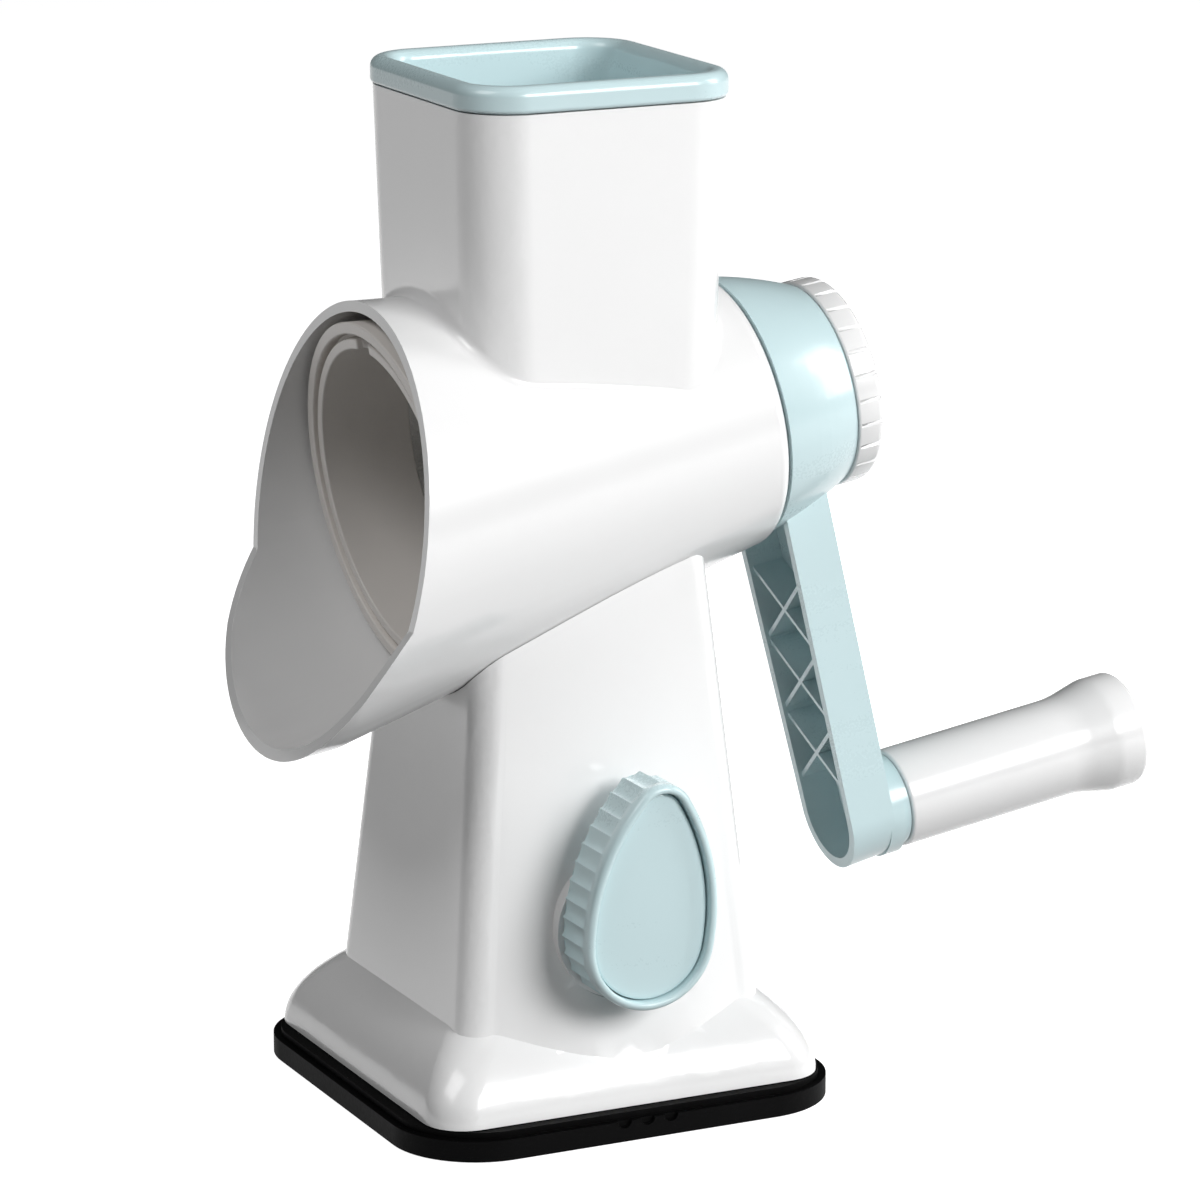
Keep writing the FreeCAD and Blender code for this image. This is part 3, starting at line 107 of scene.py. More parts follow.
class GraterColours(bpy.types.PropertyGroup):
    """Colours of the moulded parts."""

    shell: bpy.props.FloatVectorProperty(
        name="Shell", description="Glossy plastic of barrel, stand, knob and grip",
        subtype="COLOR", size=3, min=0, max=1, default=(0.86, 0.86, 0.86))
    accent: bpy.props.FloatVectorProperty(
        name="Accent", description="Glossy plastic of crank, lever and pusher",
        subtype="COLOR", size=3, min=0, max=1, default=(0.56, 0.72, 0.745))
    drum: bpy.props.FloatVectorProperty(
        name="Drum", description="Satin plastic of the drum's ring and hub",
        subtype="COLOR", size=3, min=0, max=1, default=(0.80, 0.765, 0.73))
    rubber: bpy.props.FloatVectorProperty(
        name="Rubber", description="Suction pad",
        subtype="COLOR", size=3, min=0, max=1, default=(0.0012, 0.0012, 0.0013))


class GraterSizes(bpy.types.PropertyGroup):
    """Sizes of the details that the frame leaves plain."""

    edge: bpy.props.FloatProperty(
        name="Edge", description="Rounding of the shells' edges",
        subtype="DISTANCE", unit="LENGTH", min=0, default=0.8 * MM)
    root: bpy.props.FloatProperty(
        name="Root", description="Radius between hopper and barrel",
        subtype="DISTANCE", unit="LENGTH", min=0, default=3.0 * MM)
    knob_grooves: bpy.props.IntProperty(
        name="Knob grooves", description="Grooves around the lock knob", min=3, default=26)
    knob_depth: bpy.props.FloatProperty(
        name="Knob groove depth", description="Depth of the lock knob's grooves",
        subtype="DISTANCE", unit="LENGTH", min=0, default=1.1 * MM)
    lever_flutes: bpy.props.IntProperty(
        name="Lever flutes", description="Hollow flutes around the lever", min=3, default=31)
    lever_depth: bpy.props.FloatProperty(
        name="Lever flute depth", description="Depth of the lever's flutes",
        subtype="DISTANCE", unit="LENGTH", min=0, default=1.0 * MM)
    holes_around: bpy.props.IntProperty(
        name="Holes around", description="Grating holes around the drum", min=6, default=26)
    holes_along: bpy.props.IntProperty(
        name="Holes along", description="Rows of grating holes along the drum", min=2, default=6)
    tooth: bpy.props.FloatProperty(
        name="Tooth", description="Height of the raised lip at each grating hole",
        subtype="DISTANCE", unit="LENGTH", min=0, default=1.1 * MM)


class GraterStage(bpy.types.PropertyGroup):
    """Camera and light of the studio."""

    lens: bpy.props.FloatProperty(
        name="Lens", description="Focal length of the camera in millimetres", min=10, default=163.1)
    key: bpy.props.FloatProperty(
        name="Key light", description="Power of the large soft light", subtype="POWER", unit="POWER",
        min=0, default=25.5)
    sky: bpy.props.FloatProperty(
        name="Surround", description="Strength of the studio's pale surround",
        min=0, default=0.08)


def colours():
    return bpy.context.scene.grater_colours


def sizes():
    return bpy.context.scene.grater_sizes


# ---------------------------------------------------------------- node graphs

class Wire:
    """An output socket that takes part in expressions, each of which adds a Math node."""

    def __init__(self, graph, socket):
        self.graph = graph
        self.socket = socket

    def __add__(self, other):
        return self.graph.math("ADD", self, other)

    def __sub__(self, other):
        return self.graph.math("SUBTRACT", self, other)

    def __rsub__(self, other):
        return self.graph.math("SUBTRACT", other, self)

    def __mul__(self, other):
        return self.graph.math("MULTIPLY", self, other)

    def __truediv__(self, other):
        return self.graph.math("DIVIDE", self, other)

    __radd__ = __add__
    __rmul__ = __mul__


class Graph:
    """Adds and joins the nodes of a material or a Geometry Nodes tree."""

    def __init__(self, tree):
        self.tree = tree

    def node(self, kind, settings=None, values=None):
        """One node: its settings first, then the values or wires of its sockets."""
        made = self.tree.nodes.new(kind)
        for name, value in (settings or {}).items():
            if name == "stops":
                self.fill_ramp(made.color_ramp, value)
            else:
                setattr(made, name, value)
        for key, value in (values or {}).items():
            socket = made.inputs[key]
            if isinstance(value, Wire):
                self.tree.links.new(value.socket, socket)
            else:
                socket.default_value = value
        return made

    @staticmethod
    def fill_ramp(ramp, stops):
        while len(ramp.elements) < len(stops):
            ramp.elements.new(1.0)
        for element, (place, shade) in zip(ramp.elements, stops):
            element.position = place
            element.color = (shade, shade, shade, 1)

    def out(self, made, key=0):
        return Wire(self, made.outputs[key])

    def wire(self, kind, settings=None, values=None, key=0):
        return self.out(self.node(kind, settings, values), key)

    def math(self, operation, *numbers):
        values = {place: number for place, number in enumerate(numbers)}
        return self.wire("ShaderNodeMath", {"operation": operation}, values)

    def mix(self, factor, first, second):
        """Colour between two colours."""
        values = {0: factor, 6: first, 7: second}
        return self.wire("ShaderNodeMix", {"data_type": "RGBA"}, values, key=2)


# ---------------------------------------------------------------- finishes

def noise(graph, place, scale, detail=2.0, stretch=None):
    """Noise on the object's own coordinates, stretched along an axis where a finish has a grain."""
    if stretch:
        place = graph.wire("ShaderNodeMapping", values={0: place, "Scale": stretch})
    return graph.wire("ShaderNodeTexNoise", values={"Vector": place, "Scale": scale, "Detail": detail})


def new_finish(name):
    material = bpy.data.materials.new(name)
    material.use_nodes = True
    material.node_tree.nodes.clear()
    graph = Graph(material.node_tree)
    place = graph.wire("ShaderNodeTexCoord", key="Object")
    return material, graph, place


def close_finish(graph, values):
    shader = graph.wire("ShaderNodeBsdfPrincipled", values=values)
    graph.node("ShaderNodeOutputMaterial", values={"Surface": shader})


def tone(colour, share):
    return tuple(min(1.0, channel * share) for channel in colour) + (1.0,)


def moulded_plastic(name, colour, rough, gloss=0.0, grain=0.02, patch=0.03):
    """Moulded plastic: cloudy pigment, faint flow marks and a surface that is never quite even."""
    material, graph, place = new_finish(name)
    cloud = noise(graph, place, 22.0, 3.0)
    flow = noise(graph, place, 14.0, 2.0, (1.0, 1.0, 6.0))
    skin = noise(graph, place, 1400.0, 2.0)
    base = graph.mix(cloud, tone(colour, 1.0 - patch), tone(colour, 1.0 + patch / 2))
    dull = rough + (flow - 0.5) * 0.05 + (skin - 0.5) * 0.02
    peel = graph.wire("ShaderNodeBump", values={
        "Strength": grain, "Distance": 0.0003, "Height": skin}, key="Normal")
    close_finish(graph, {"Base Color": base, "Roughness": dull, "Normal": peel, "IOR": 1.5,
                         "Coat Weight": gloss, "Coat Roughness": 0.08})
    return material


def rubber(name, colour):
    """Satin rubber with fine pores and a little dust."""
    material, graph, place = new_finish(name)
    pores = noise(graph, place, 900.0, 3.0)
    dust = noise(graph, place, 40.0, 5.0)
    speck = graph.wire("ShaderNodeValToRGB", {"stops": [(0.55, 0.0), (0.8, 1.0)]}, {"Fac": dust})
    base = graph.mix(speck, tone(colour, 1.0), tone(colour, 2.2))
    dull = 0.46 + pores * 0.12 + dust * 0.1
    skin = graph.wire("ShaderNodeBump", values={
        "Strength": 0.15, "Distance": 0.0003, "Height": pores}, key="Normal")
    close_finish(graph, {"Base Color": base, "Roughness": dull, "Normal": skin,
                         "Specular IOR Level": 0.04})
    return material


def brushed_metal(name, colour, rough, stretch, bump=0.12):
    """Metal with fine brush lines across one axis and soft cloudy tarnish."""
    material, graph, place = new_finish(name)
    lines = noise(graph, place, 260.0, 4.0, stretch)
    cloud = noise(graph, place, 30.0, 3.0)
    base = graph.mix(lines, tone(colour, 0.86), tone(colour, 1.06))
    dull = rough + lines * 0.16 + cloud * 0.06 - 0.1
    skin = graph.wire("ShaderNodeBump", values={
        "Strength": bump, "Distance": 0.0002, "Height": lines}, key="Normal")
    close_finish(graph, {"Base Color": base, "Metallic": 1.0, "Roughness": dull, "Normal": skin})
    return material


def pale_floor(name):
    """Matt pale studio paper."""
    material, graph, place = new_finish(name)
    fibre = noise(graph, place, 60.0, 4.0)
    base = graph.mix(fibre, (0.90, 0.90, 0.90, 1), (0.94, 0.94, 0.94, 1))
    close_finish(graph, {"Base Color": base, "Roughness": 0.85 + fibre * 0.1,
                         "Emission Color": (1, 1, 1, 1), "Emission Strength": 0.85})
    return material


def make_finishes():
    tint = colours()
    return {
        "white_abs": moulded_plastic("Glossy shell plastic", tint.shell, 0.24, 0.35),
        "blue_plastic": moulded_plastic("Glossy accent plastic", tint.accent, 0.28, 0.25),
        "drum_plastic": moulded_plastic("Satin drum plastic", tint.drum, 0.42, grain=0.05),
        "white_nylon": moulded_plastic("Plain nylon", (0.72, 0.71, 0.68), 0.5, grain=0.08),
        "black_rubber": rubber("Pad rubber", tint.rubber),
        "stainless": brushed_metal("Brushed stainless", (0.62, 0.62, 0.61), 0.28, (1.0, 30.0, 30.0)),
        "bright_steel": brushed_metal("Plated steel", (0.70, 0.70, 0.71), 0.18, (12.0, 12.0, 1.0), 0.05),
        "brass": brushed_metal("Turned brass", (0.66, 0.50, 0.24), 0.26, (30.0, 2.0, 2.0)),
    }


SLOT_OF = {row["node"]: row["material_slot"] for row in frame["record"]["subparts"]}
BODY_OF = {node: body
           for body, nodes in frame["record"]["behaviour"]["bodies"].items() for node in nodes}
finishes = {}


def finish_of(slot):
    if not finishes:
        finishes.update(make_finishes())
    return finishes[slot]


# ---------------------------------------------------------------- meshes

def new_object(name, mesh):
    thing = bpy.data.objects.new(name, mesh)
    bpy.context.scene.collection.objects.link(thing)
    return thing


def close_mesh(work, name):
    """Mesh out of a bmesh, with doubles merged and faces turned outwards."""
    bmesh.ops.remove_doubles(work, verts=work.verts, dist=2e-6)
    bmesh.ops.recalc_face_normals(work, faces=work.faces)
    mesh = bpy.data.meshes.new(name)
    work.to_mesh(mesh)
    work.free()
    return mesh


def settle(thing):
    """Turn what the modifiers make into the object's own plain mesh."""
    seen = thing.evaluated_get(bpy.context.evaluated_depsgraph_get())
    mesh = bpy.data.meshes.new_from_object(seen)
    mesh.name = thing.name
    thing.modifiers.clear()
    thing.data = mesh
    return thing


def shade(thing, angle=32.0):
    thing.data.shade_smooth()
    thing.data.set_sharp_from_angle(angle=math.radians(angle))
    return thing


def dress(thing, node, *others):
    """Give a finished piece its finish and its body, and hide the CAD nodes that it stands for."""
    slot = SLOT_OF[node]
    thing.data.materials.clear()
    thing.data.materials.append(finish_of(slot))
    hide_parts(node, *others)
    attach(thing, BODY_OF[node])
    return thing


def loose_copy(node):
    """Merged copy of a CAD node's mesh with its flat faces joined."""
    source = frame["nodes"][node].data
    work = bmesh.new()
    work.from_mesh(source)
    bmesh.ops.remove_doubles(work, verts=work.verts, dist=4e-6)
    bmesh.ops.dissolve_degenerate(work, edges=work.edges, dist=1e-6)
    bmesh.ops.dissolve_limit(work, angle_limit=math.radians(0.4), verts=work.verts, edges=work.edges)
    mesh = bpy.data.meshes.new(node)
    work.to_mesh(mesh)
    work.free()
    for name in [attribute.name for attribute in mesh.attributes if attribute.name == "custom_normal"]:
        mesh.attributes.remove(mesh.attributes[name])
    return mesh


def soft_copy(name, node, edge, angle=34.0, segments=4):
    """Copy of a CAD node whose edges are rounded and whose large faces stay flat in the light."""
    thing = shade(new_object(name, loose_copy(node)), 24.0)
    if edge:
        soft = thing.modifiers.new("soft edges", "BEVEL")
        soft.width = edge
        soft.segments = segments
        soft.limit_method = "ANGLE"
        soft.angle_limit = math.radians(angle)
        soft.use_clamp_overlap = True
        soft.miter_outer = "MITER_ARC"
        settle(thing)
        shade(thing, 24.0)
    flat = thing.modifiers.new("flat faces", "WEIGHTED_NORMAL")
    flat.keep_sharp = True
    settle(thing)
    return dress(thing, node)


def rounded_profile(corners, steps=6):
    """Outline through (along, radius, round) corners, each round corner drawn as an arc."""
    points = []
    count = len(corners)
    for number, corner in enumerate(corners):
        here = Vector(corner[:2])
        soft = corner[2] if len(corner) > 2 else 0
        if not soft:
            points.append(here)
            continue
        before = (Vector(corners[number - 1][:2]) - here).normalized()
        after = (Vector(corners[(number + 1) % count][:2]) - here).normalized()
        half = before.angle(after) / 2
        middle = here + (before + after).normalized() * (soft / math.sin(half))
        start = here + before * (soft / math.tan(half)) - middle
        end = here + after * (soft / math.tan(half)) - middle
        points += [middle + start.slerp(end, step / steps) * soft for step in range(steps + 1)]
    return points


def turned(name, profile, around=160, grooved=None):
    """Closed lathe piece about X; grooved(along, radius) is the share of a groove's depth there."""
    work = bmesh.new()
    share = work.verts.layers.float.new("around")
    mask = work.verts.layers.float.new("groove")
    rings = []
    for number in range(around):
        turn = 2 * math.pi * number / around
        ring = []
        for along, radius in profile:
            vert = work.verts.new((along, radius * math.sin(turn), radius * math.cos(turn)))
            vert[share] = number / around
            vert[mask] = grooved(along, radius) if grooved else 0.0
            ring.append(vert)
        rings.append(ring)
    close_rings(work, rings)
    return new_object(name, close_mesh(work, name))


def close_rings(work, rings):
    """Quads between closed rings of points, each joined to the next and the last to the first."""
    for ring, following in zip(rings, rings[1:] + rings[:1]):
        for number in range(len(ring)):
            after = (number + 1) % len(ring)
            corners = [ring[number], ring[after], following[after], following[number]]
            if len(set(corner.co.to_tuple(9) for corner in corners)) > 2:
                work.faces.new(corners)


def moved(thing, place):
    thing.data.transform(place)
    return thing


# ---------------------------------------------------------------- Geometry Nodes trees

def new_tree(name, inputs):
    """Geometry tree with a geometry input, named inputs and its group nodes."""
    tree = bpy.data.node_groups.new(name, "GeometryNodeTree")
    tree.interface.new_socket("Geometry", in_out="OUTPUT", socket_type="NodeSocketGeometry")
    tree.interface.new_socket("Geometry", in_out="INPUT", socket_type="NodeSocketGeometry")
    for label, kind in inputs:
        tree.interface.new_socket(label, in_out="INPUT", socket_type="NodeSocket" + kind)
    graph = Graph(tree)
    return tree, graph, graph.node("NodeGroupInput")


def end_tree(graph, group, geometry):
    real = graph.wire("GeometryNodeRealizeInstances", values={0: geometry})
    painted = graph.wire("GeometryNodeSetMaterial", values={
        "Geometry": real, "Material": graph.out(group, "Material")})
    graph.node("NodeGroupOutput", values={0: painted})


def flute_tree():
    """Cuts equal grooves into a surface that carries how far round each point lies."""
    tree, graph, group = new_tree("Flutes", [
        ("Count", "Int"), ("Depth", "Float"), ("Width", "Float"), ("Material", "Material")])
    around = graph.wire("GeometryNodeInputNamedAttribute", {"data_type": "FLOAT"}, {"Name": "around"})
    mask = graph.wire("GeometryNodeInputNamedAttribute", {"data_type": "FLOAT"}, {"Name": "groove"})
    cell = graph.math("FRACT", around * graph.out(group, "Count"))
    reach = graph.math("ABSOLUTE", cell - 0.5) / graph.out(group, "Width")
    hollow = graph.math("MAXIMUM", 1 - reach * reach, 0.0) * mask * graph.out(group, "Depth")
    spot = graph.out(graph.node("GeometryNodeInputPosition"))
    parts = graph.node("ShaderNodeSeparateXYZ", values={0: spot})
    flat = graph.wire("ShaderNodeCombineXYZ", values={
        0: 0.0, 1: graph.out(parts, 1), 2: graph.out(parts, 2)})
    inward = graph.wire("ShaderNodeVectorMath", {"operation": "NORMALIZE"}, {0: flat})
    shift = graph.wire("ShaderNodeVectorMath", {"operation": "SCALE"}, {
        0: inward, "Scale": hollow * -1.0})
    cut = graph.wire("GeometryNodeSetPosition", values={
        "Geometry": graph.out(group, "Geometry"), "Offset": shift})
    end_tree(graph, group, cut)
    return tree


def perforation_tree():
    """Lays a punched cell over a cone: rows of cells between two plain bands."""
    tree, graph, group = new_tree("Perforations", [
        ("Around", "Int"), ("Along", "Int"), ("Start", "Float"), ("Length", "Float"),
        ("Radius", "Float"), ("Slope", "Float"), ("Band", "Float"), ("Material", "Material")])

    def given(label):
        return graph.out(group, label)

    around, along = given("Around"), given("Along")
    grid = graph.wire("GeometryNodeMeshGrid", values={
        "Size X": 1.0, "Size Y": 1.0, "Vertices X": around + 1, "Vertices Y": along + 1})
    spots = graph.wire("GeometryNodeMeshToPoints", {"mode": "FACES"}, {"Mesh": grid})
    scale = graph.wire("ShaderNodeCombineXYZ", values={
        0: graph.math("DIVIDE", 1.0, around), 1: graph.math("DIVIDE", 1.0, along), 2: 1.0})
    cells = graph.wire("GeometryNodeInstanceOnPoints", values={
        "Points": spots, "Instance": given("Geometry"), "Scale": scale})
    real = graph.wire("GeometryNodeRealizeInstances", values={0: cells})
    spot = graph.node("ShaderNodeSeparateXYZ", values={0: graph.wire("GeometryNodeInputPosition")})
    joined = graph.node("GeometryNodeJoinGeometry")
    graph.tree.links.new(real.socket, joined.inputs[0])
    band = given("Band")
    for side in (-1, 1):
        strip = graph.wire("GeometryNodeMeshGrid", values={
            "Size X": 1.0, "Size Y": band, "Vertices X": around * 4 + 1, "Vertices Y": 2})
        shift = graph.wire("ShaderNodeCombineXYZ", values={1: (band * 0.5 + 0.5) * side})
        put = graph.wire("GeometryNodeTransform", values={"Geometry": strip, "Translation": shift})
        graph.tree.links.new(put.socket, joined.inputs[0])
    turn = graph.out(spot, 0) * (2 * math.pi)
    place = given("Start") + (graph.out(spot, 1) + 0.5 + band) * given("Length")
    radius = given("Radius") - place * given("Slope") + graph.out(spot, 2)
    wrapped = graph.wire("ShaderNodeCombineXYZ", values={
        0: place, 1: graph.math("SINE", turn) * radius, 2: graph.math("COSINE", turn) * radius})
    cone = graph.wire("GeometryNodeSetPosition", values={
        "Geometry": graph.out(joined), "Position": wrapped})
    merged = graph.wire("GeometryNodeMergeByDistance", values={"Geometry": cone, "Distance": 2e-5})
    end_tree(graph, group, merged)
    return tree


def grow(thing, tree, slot, **inputs):
    """Put a Geometry Nodes tree on a piece as a modifier, with its inputs and its material."""
    grown = thing.modifiers.new(tree.name, "NODES")
    grown.node_group = tree
    sockets = {item.name: item.identifier
               for item in tree.interface.items_tree if item.in_out == "INPUT"}
    for label, value in inputs.items():
        grown[sockets[label]] = value
    grown[sockets["Material"]] = finish_of(slot)
    return thing


# ---------------------------------------------------------------- pieces

class GraterOperator:
    """What every operator of this add-on shares."""

    bl_options = {"REGISTER", "UNDO"}


def hopper_half(level):
    """Half sizes of the hopper at a height."""
    shrink = HOPPER_DRAFT * (HOPPER_TOP - level)
    return HOPPER_HALF_X - shrink, HOPPER_HALF_Y - shrink


def square_point(share, half_x, half_y, corner):
    """Point and outward direction at a share of the way round a rounded rectangle."""
    turn = share * 4
    side = int(turn) % 4
    part = turn - int(turn)
    spans = (half_x, half_y) if side % 2 == 0 else (half_y, half_x)
    straight = 2 * (spans[1] - corner)
    arc = corner * math.pi / 2
    reach = part * (straight + arc)
    if reach < straight:
        local = Vector((spans[0], reach - straight / 2))
        facing = Vector((1, 0))
    else:
        bend = (reach - straight) / corner
        facing = Vector((math.cos(bend), math.sin(bend)))
        local = Vector((spans[0] - corner, spans[1] - corner)) + facing * corner
    turn_side = Matrix.Rotation(side * math.pi / 2, 2)
    return turn_side @ local, turn_side @ facing


def hopper_root(radius, count=320, steps=14):
    """Hollow fillet that runs round the foot of the hopper, as a ball rolled along it leaves it."""
    tilt_c, tilt_s = math.cos(AXIS_TILT), math.sin(AXIS_TILT)
    grown = radius * math.hypot(1, CONE_SLOPE)
    corner = HOPPER_CORNER + radius
    work = bmesh.new()
    rings = []
    for number in range(count):
        low, high = ROOT_LOW, ROOT_HIGH
        for _ in range(HALVINGS):
            level = (low + high) / 2
            half_x, half_y = hopper_half(level)
            spot, facing = square_point(number / count, half_x + radius, half_y + radius, corner)
            x, y, z = spot.x + HOPPER_CENTRE, spot.y, level - AXIS_HEIGHT
            along, rise = x * tilt_c + z * tilt_s, z * tilt_c - x * tilt_s
            gap = math.hypot(y, rise) - (CONE_REAR_RADIUS + CONE_SLOPE * (CONE_REAR - along) + grown)
            low, high = (level, high) if gap < 0 else (low, level)
        middle = Vector((x, y, level))
        wall = Vector((facing.x, facing.y, -HOPPER_DRAFT)).normalized()
        away = math.hypot(y, rise)
        ray = Vector((CONE_SLOPE, y / away, rise / away)).normalized()
        cone = Vector((ray.x * tilt_c - ray.z * tilt_s, ray.y, ray.x * tilt_s + ray.z * tilt_c))
        ring = [work.verts.new(middle - wall.slerp(cone, step / steps) * radius)
                for step in range(steps + 1)]
        # The last point of each ring lies inside the walls, where it closes the strip.
        inside = (wall + cone).normalized() * (radius * 1.9)
        ring.append(work.verts.new(middle - inside))
        rings.append(ring)
    close_rings(work, rings)
    return close_mesh(work, "hopper_root")


class GRATER_OT_barrel(GraterOperator, bpy.types.Operator):
    """Barrel with its spout and hopper, and the hollow fillet at the hopper's foot"""

    bl_idname = "grater.barrel"
    bl_label = "Barrel and Hopper"

    def execute(self, context):
        soft_copy("barrel_shell", "barrel_housing", sizes().edge)
        root = shade(new_object("hopper_root", hopper_root(sizes().root)), 30.0)
        root.data.materials.append(finish_of("white_abs"))
        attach(root, "stand")
        return {"FINISHED"}


class GRATER_OT_stand(GraterOperator, bpy.types.Operator):
    """Stand column with its domed skirt"""

    bl_idname = "grater.stand"
    bl_label = "Stand Column"

    def execute(self, context):
        soft_copy("stand_shell", "stand_column", sizes().edge)
        return {"FINISHED"}


class GRATER_OT_pad(GraterOperator, bpy.types.Operator):
    """Rubber suction pad"""

    bl_idname = "grater.pad"
    bl_label = "Suction Pad"

    def execute(self, context):
        soft_copy("rubber_pad", "suction_pad", sizes().edge * 0.8)
        return {"FINISHED"}


class GRATER_OT_pusher(GraterOperator, bpy.types.Operator):
    """Food pusher cup"""

    bl_idname = "grater.pusher"
    bl_label = "Food Pusher"

    def execute(self, context):
        soft_copy("pusher_cup", "food_pusher", 0)
        return {"FINISHED"}


class GRATER_OT_crank(GraterOperator, bpy.types.Operator):
    """Crank hub and ribbed arm"""

    bl_idname = "grater.crank"
    bl_label = "Crank Arm"

    def execute(self, context):
        soft_copy("crank_cover", "crank_arm", sizes().edge * 0.6)
        return {"FINISHED"}


class GRATER_OT_drum(GraterOperator, bpy.types.Operator):
    """Drum's front ring and rear hub"""

    bl_idname = "grater.drum"
    bl_label = "Drum Ring and Hub"

    def execute(self, context):
        soft_copy("drum_ring", "drum_front_ring", sizes().edge * 0.8)
        soft_copy("drum_hub", "drum_rear_hub", sizes().edge * 0.5)
        return {"FINISHED"}


def punched_cell(tooth):
    """Square cell of unit size with a round hole whose edge rises to a tooth on one side."""
    sides = 16
    work = bmesh.new()
    rings = [[], [], []]
    for number in range(sides):
        turn = 2 * math.pi * number / sides
        ray = Vector((math.cos(turn), math.sin(turn)))
        reach = 0.5 / max(abs(ray.x), abs(ray.y))
        edge = ray * reach
        # Points on the border lie on quarter steps, where the cells and the bands beside them meet.
        edge = Vector((round(edge.x * 4) / 4, round(edge.y * 4) / 4)) if number % 2 == 0 else edge
        rise = tooth * (0.55 + 0.45 * ray.x)
        rings[0].append(work.verts.new((edge.x, edge.y, 0)))
        rings[1].append(work.verts.new((ray.x * 0.34, ray.y * 0.34, 0)))
        rings[2].append(work.verts.new((ray.x * 0.24, ray.y * 0.24, rise)))
    for outer, inner in zip(rings, rings[1:]):
        for number in range(sides):
            after = (number + 1) % sides
            work.faces.new((outer[number], outer[after], inner[after], inner[number]))
    mesh = bpy.data.meshes.new("punched_cell")
    work.to_mesh(mesh)
    work.free()
    return mesh


class GRATER_OT_grating(GraterOperator, bpy.types.Operator):
    """Punched steel sheet of the drum"""

    bl_idname = "grater.grating"
    bl_label = "Grating Sheet"

    def execute(self, context):
        size = sizes()
        cells = (SHEET_END - SHEET_START) / (1 + 2 * SHEET_BAND)
        sheet = new_object("grating_sheet", punched_cell(size.tooth))
        grow(sheet, perforation_tree(), "stainless", Around=size.holes_around, Along=size.holes_along,
             Start=SHEET_START, Length=cells, Radius=SHEET_RADIUS, Slope=CONE_SLOPE, Band=SHEET_BAND)
        solid = sheet.modifiers.new("wall", "SOLIDIFY")
        solid.thickness = SHEET_WALL
        solid.offset = -1
        settle(sheet)
        dress(shade(moved(sheet, BARREL), 35.0), "drum_grating_sheet")
        return {"FINISHED"}


class GRATER_OT_lock(GraterOperator, bpy.types.Operator):
    """Grooved lock knob behind the crank hub"""

    bl_idname = "grater.lock"
    bl_label = "Lock Knob"

    def execute(self, context):
        size = sizes()
        front, back, dish, rim = 82.45, 90.85, 88.85, 29.4
        pocket, pocket_end, hole, hole_end = 7.2, 86.95, 3.85, 87.45
        corners = [(hole_end, 0.0), (hole_end, hole), (pocket_end, hole), (pocket_end, pocket),
                   (front, pocket), (front, rim, 0.7), (back, rim, 2.4), (back, 23.4, 0.5),
                   (dish, 22.6, 0.6), (dish, 0.0)]
        profile = [point * MM for point in rounded_profile(corners)]

        def grooved(along, radius):
            return 1.0 if radius > 25.5 * MM and along > (front + 0.9) * MM else 0.0

        knob = turned("grooved_knob", profile, size.knob_grooves * 22, grooved)
        grow(knob, flute_tree(), "white_abs",
             Count=size.knob_grooves, Depth=size.knob_depth, Width=KNOB_GROOVE_WIDTH)
        settle(knob)
        dress(shade(moved(knob, BARREL), 28.0), "lock_knob")
        return {"FINISHED"}


class GRATER_OT_grip(GraterOperator, bpy.types.Operator):
    """Flared grip and its end cap"""

    bl_idname = "grater.grip"
    bl_label = "Grip"

    def execute(self, context):
        front, room, seat, end = 86.35, 152.6, 160.6, 163.6
        bore, head, cap_room, slim, flare = 4.05, 8.0, 13.15, 14.2, 16.75
        corners = [(front, bore), (room, bore), (room, head), (seat, head), (seat, cap_room, 0.2),
                   (end, cap_room, 0.4), (end, flare, 1.9), (154.6, flare, 12.0), (143.6, slim, 30.0),
                   (front, slim, 1.0)]
        profile = [point * MM for point in rounded_profile(corners, 8)]
        sleeve = turned("grip_body", profile)
        dress(shade(moved(sleeve, HANDLE), 28.0), "grip_sleeve")
        disc = [(seat, 0.0), (seat, 13.1, 0.2), (163.0, 13.1, 0.6), (163.3, 0.0)]
        cap = turned("grip_cap", [point * MM for point in rounded_profile(disc)])
        dress(shade(moved(cap, HANDLE), 28.0), "grip_end_cap")
        return {"FINISHED"}


def egg_outline(inset, count):
    """Points of the lever's egg, evenly spaced, with the big end round the axis."""
    big, small, side = EGG_BIG - inset, EGG_SMALL - inset, EGG_SIDE - inset
    reach_big, reach_small = side - big, side - small
    rise = (reach_big ** 2 - reach_small ** 2 + EGG_APART ** 2) / (2 * EGG_APART)
    offset = math.sqrt(reach_big ** 2 - rise ** 2)
    joint = math.atan2(-rise, offset)
    tip = math.atan2(EGG_APART - rise, offset)
    arcs = [((0, 0), big, -math.pi - joint, joint), ((-offset, rise), side, joint, tip),
            ((0, EGG_APART), small, tip, math.pi - tip),
            ((offset, rise), side, math.pi - tip, math.pi - joint)]
    total = sum(radius * (end - start) for _, radius, start, end in arcs)
    points = []
    for number in range(count):
        left = total * number / count
        for middle, radius, start, end in arcs:
            if left <= radius * (end - start):
                turn = start + left / radius
                points.append((middle[0] + radius * math.cos(turn), middle[1] + radius * math.sin(turn)))
                break
            left -= radius * (end - start)
    return points


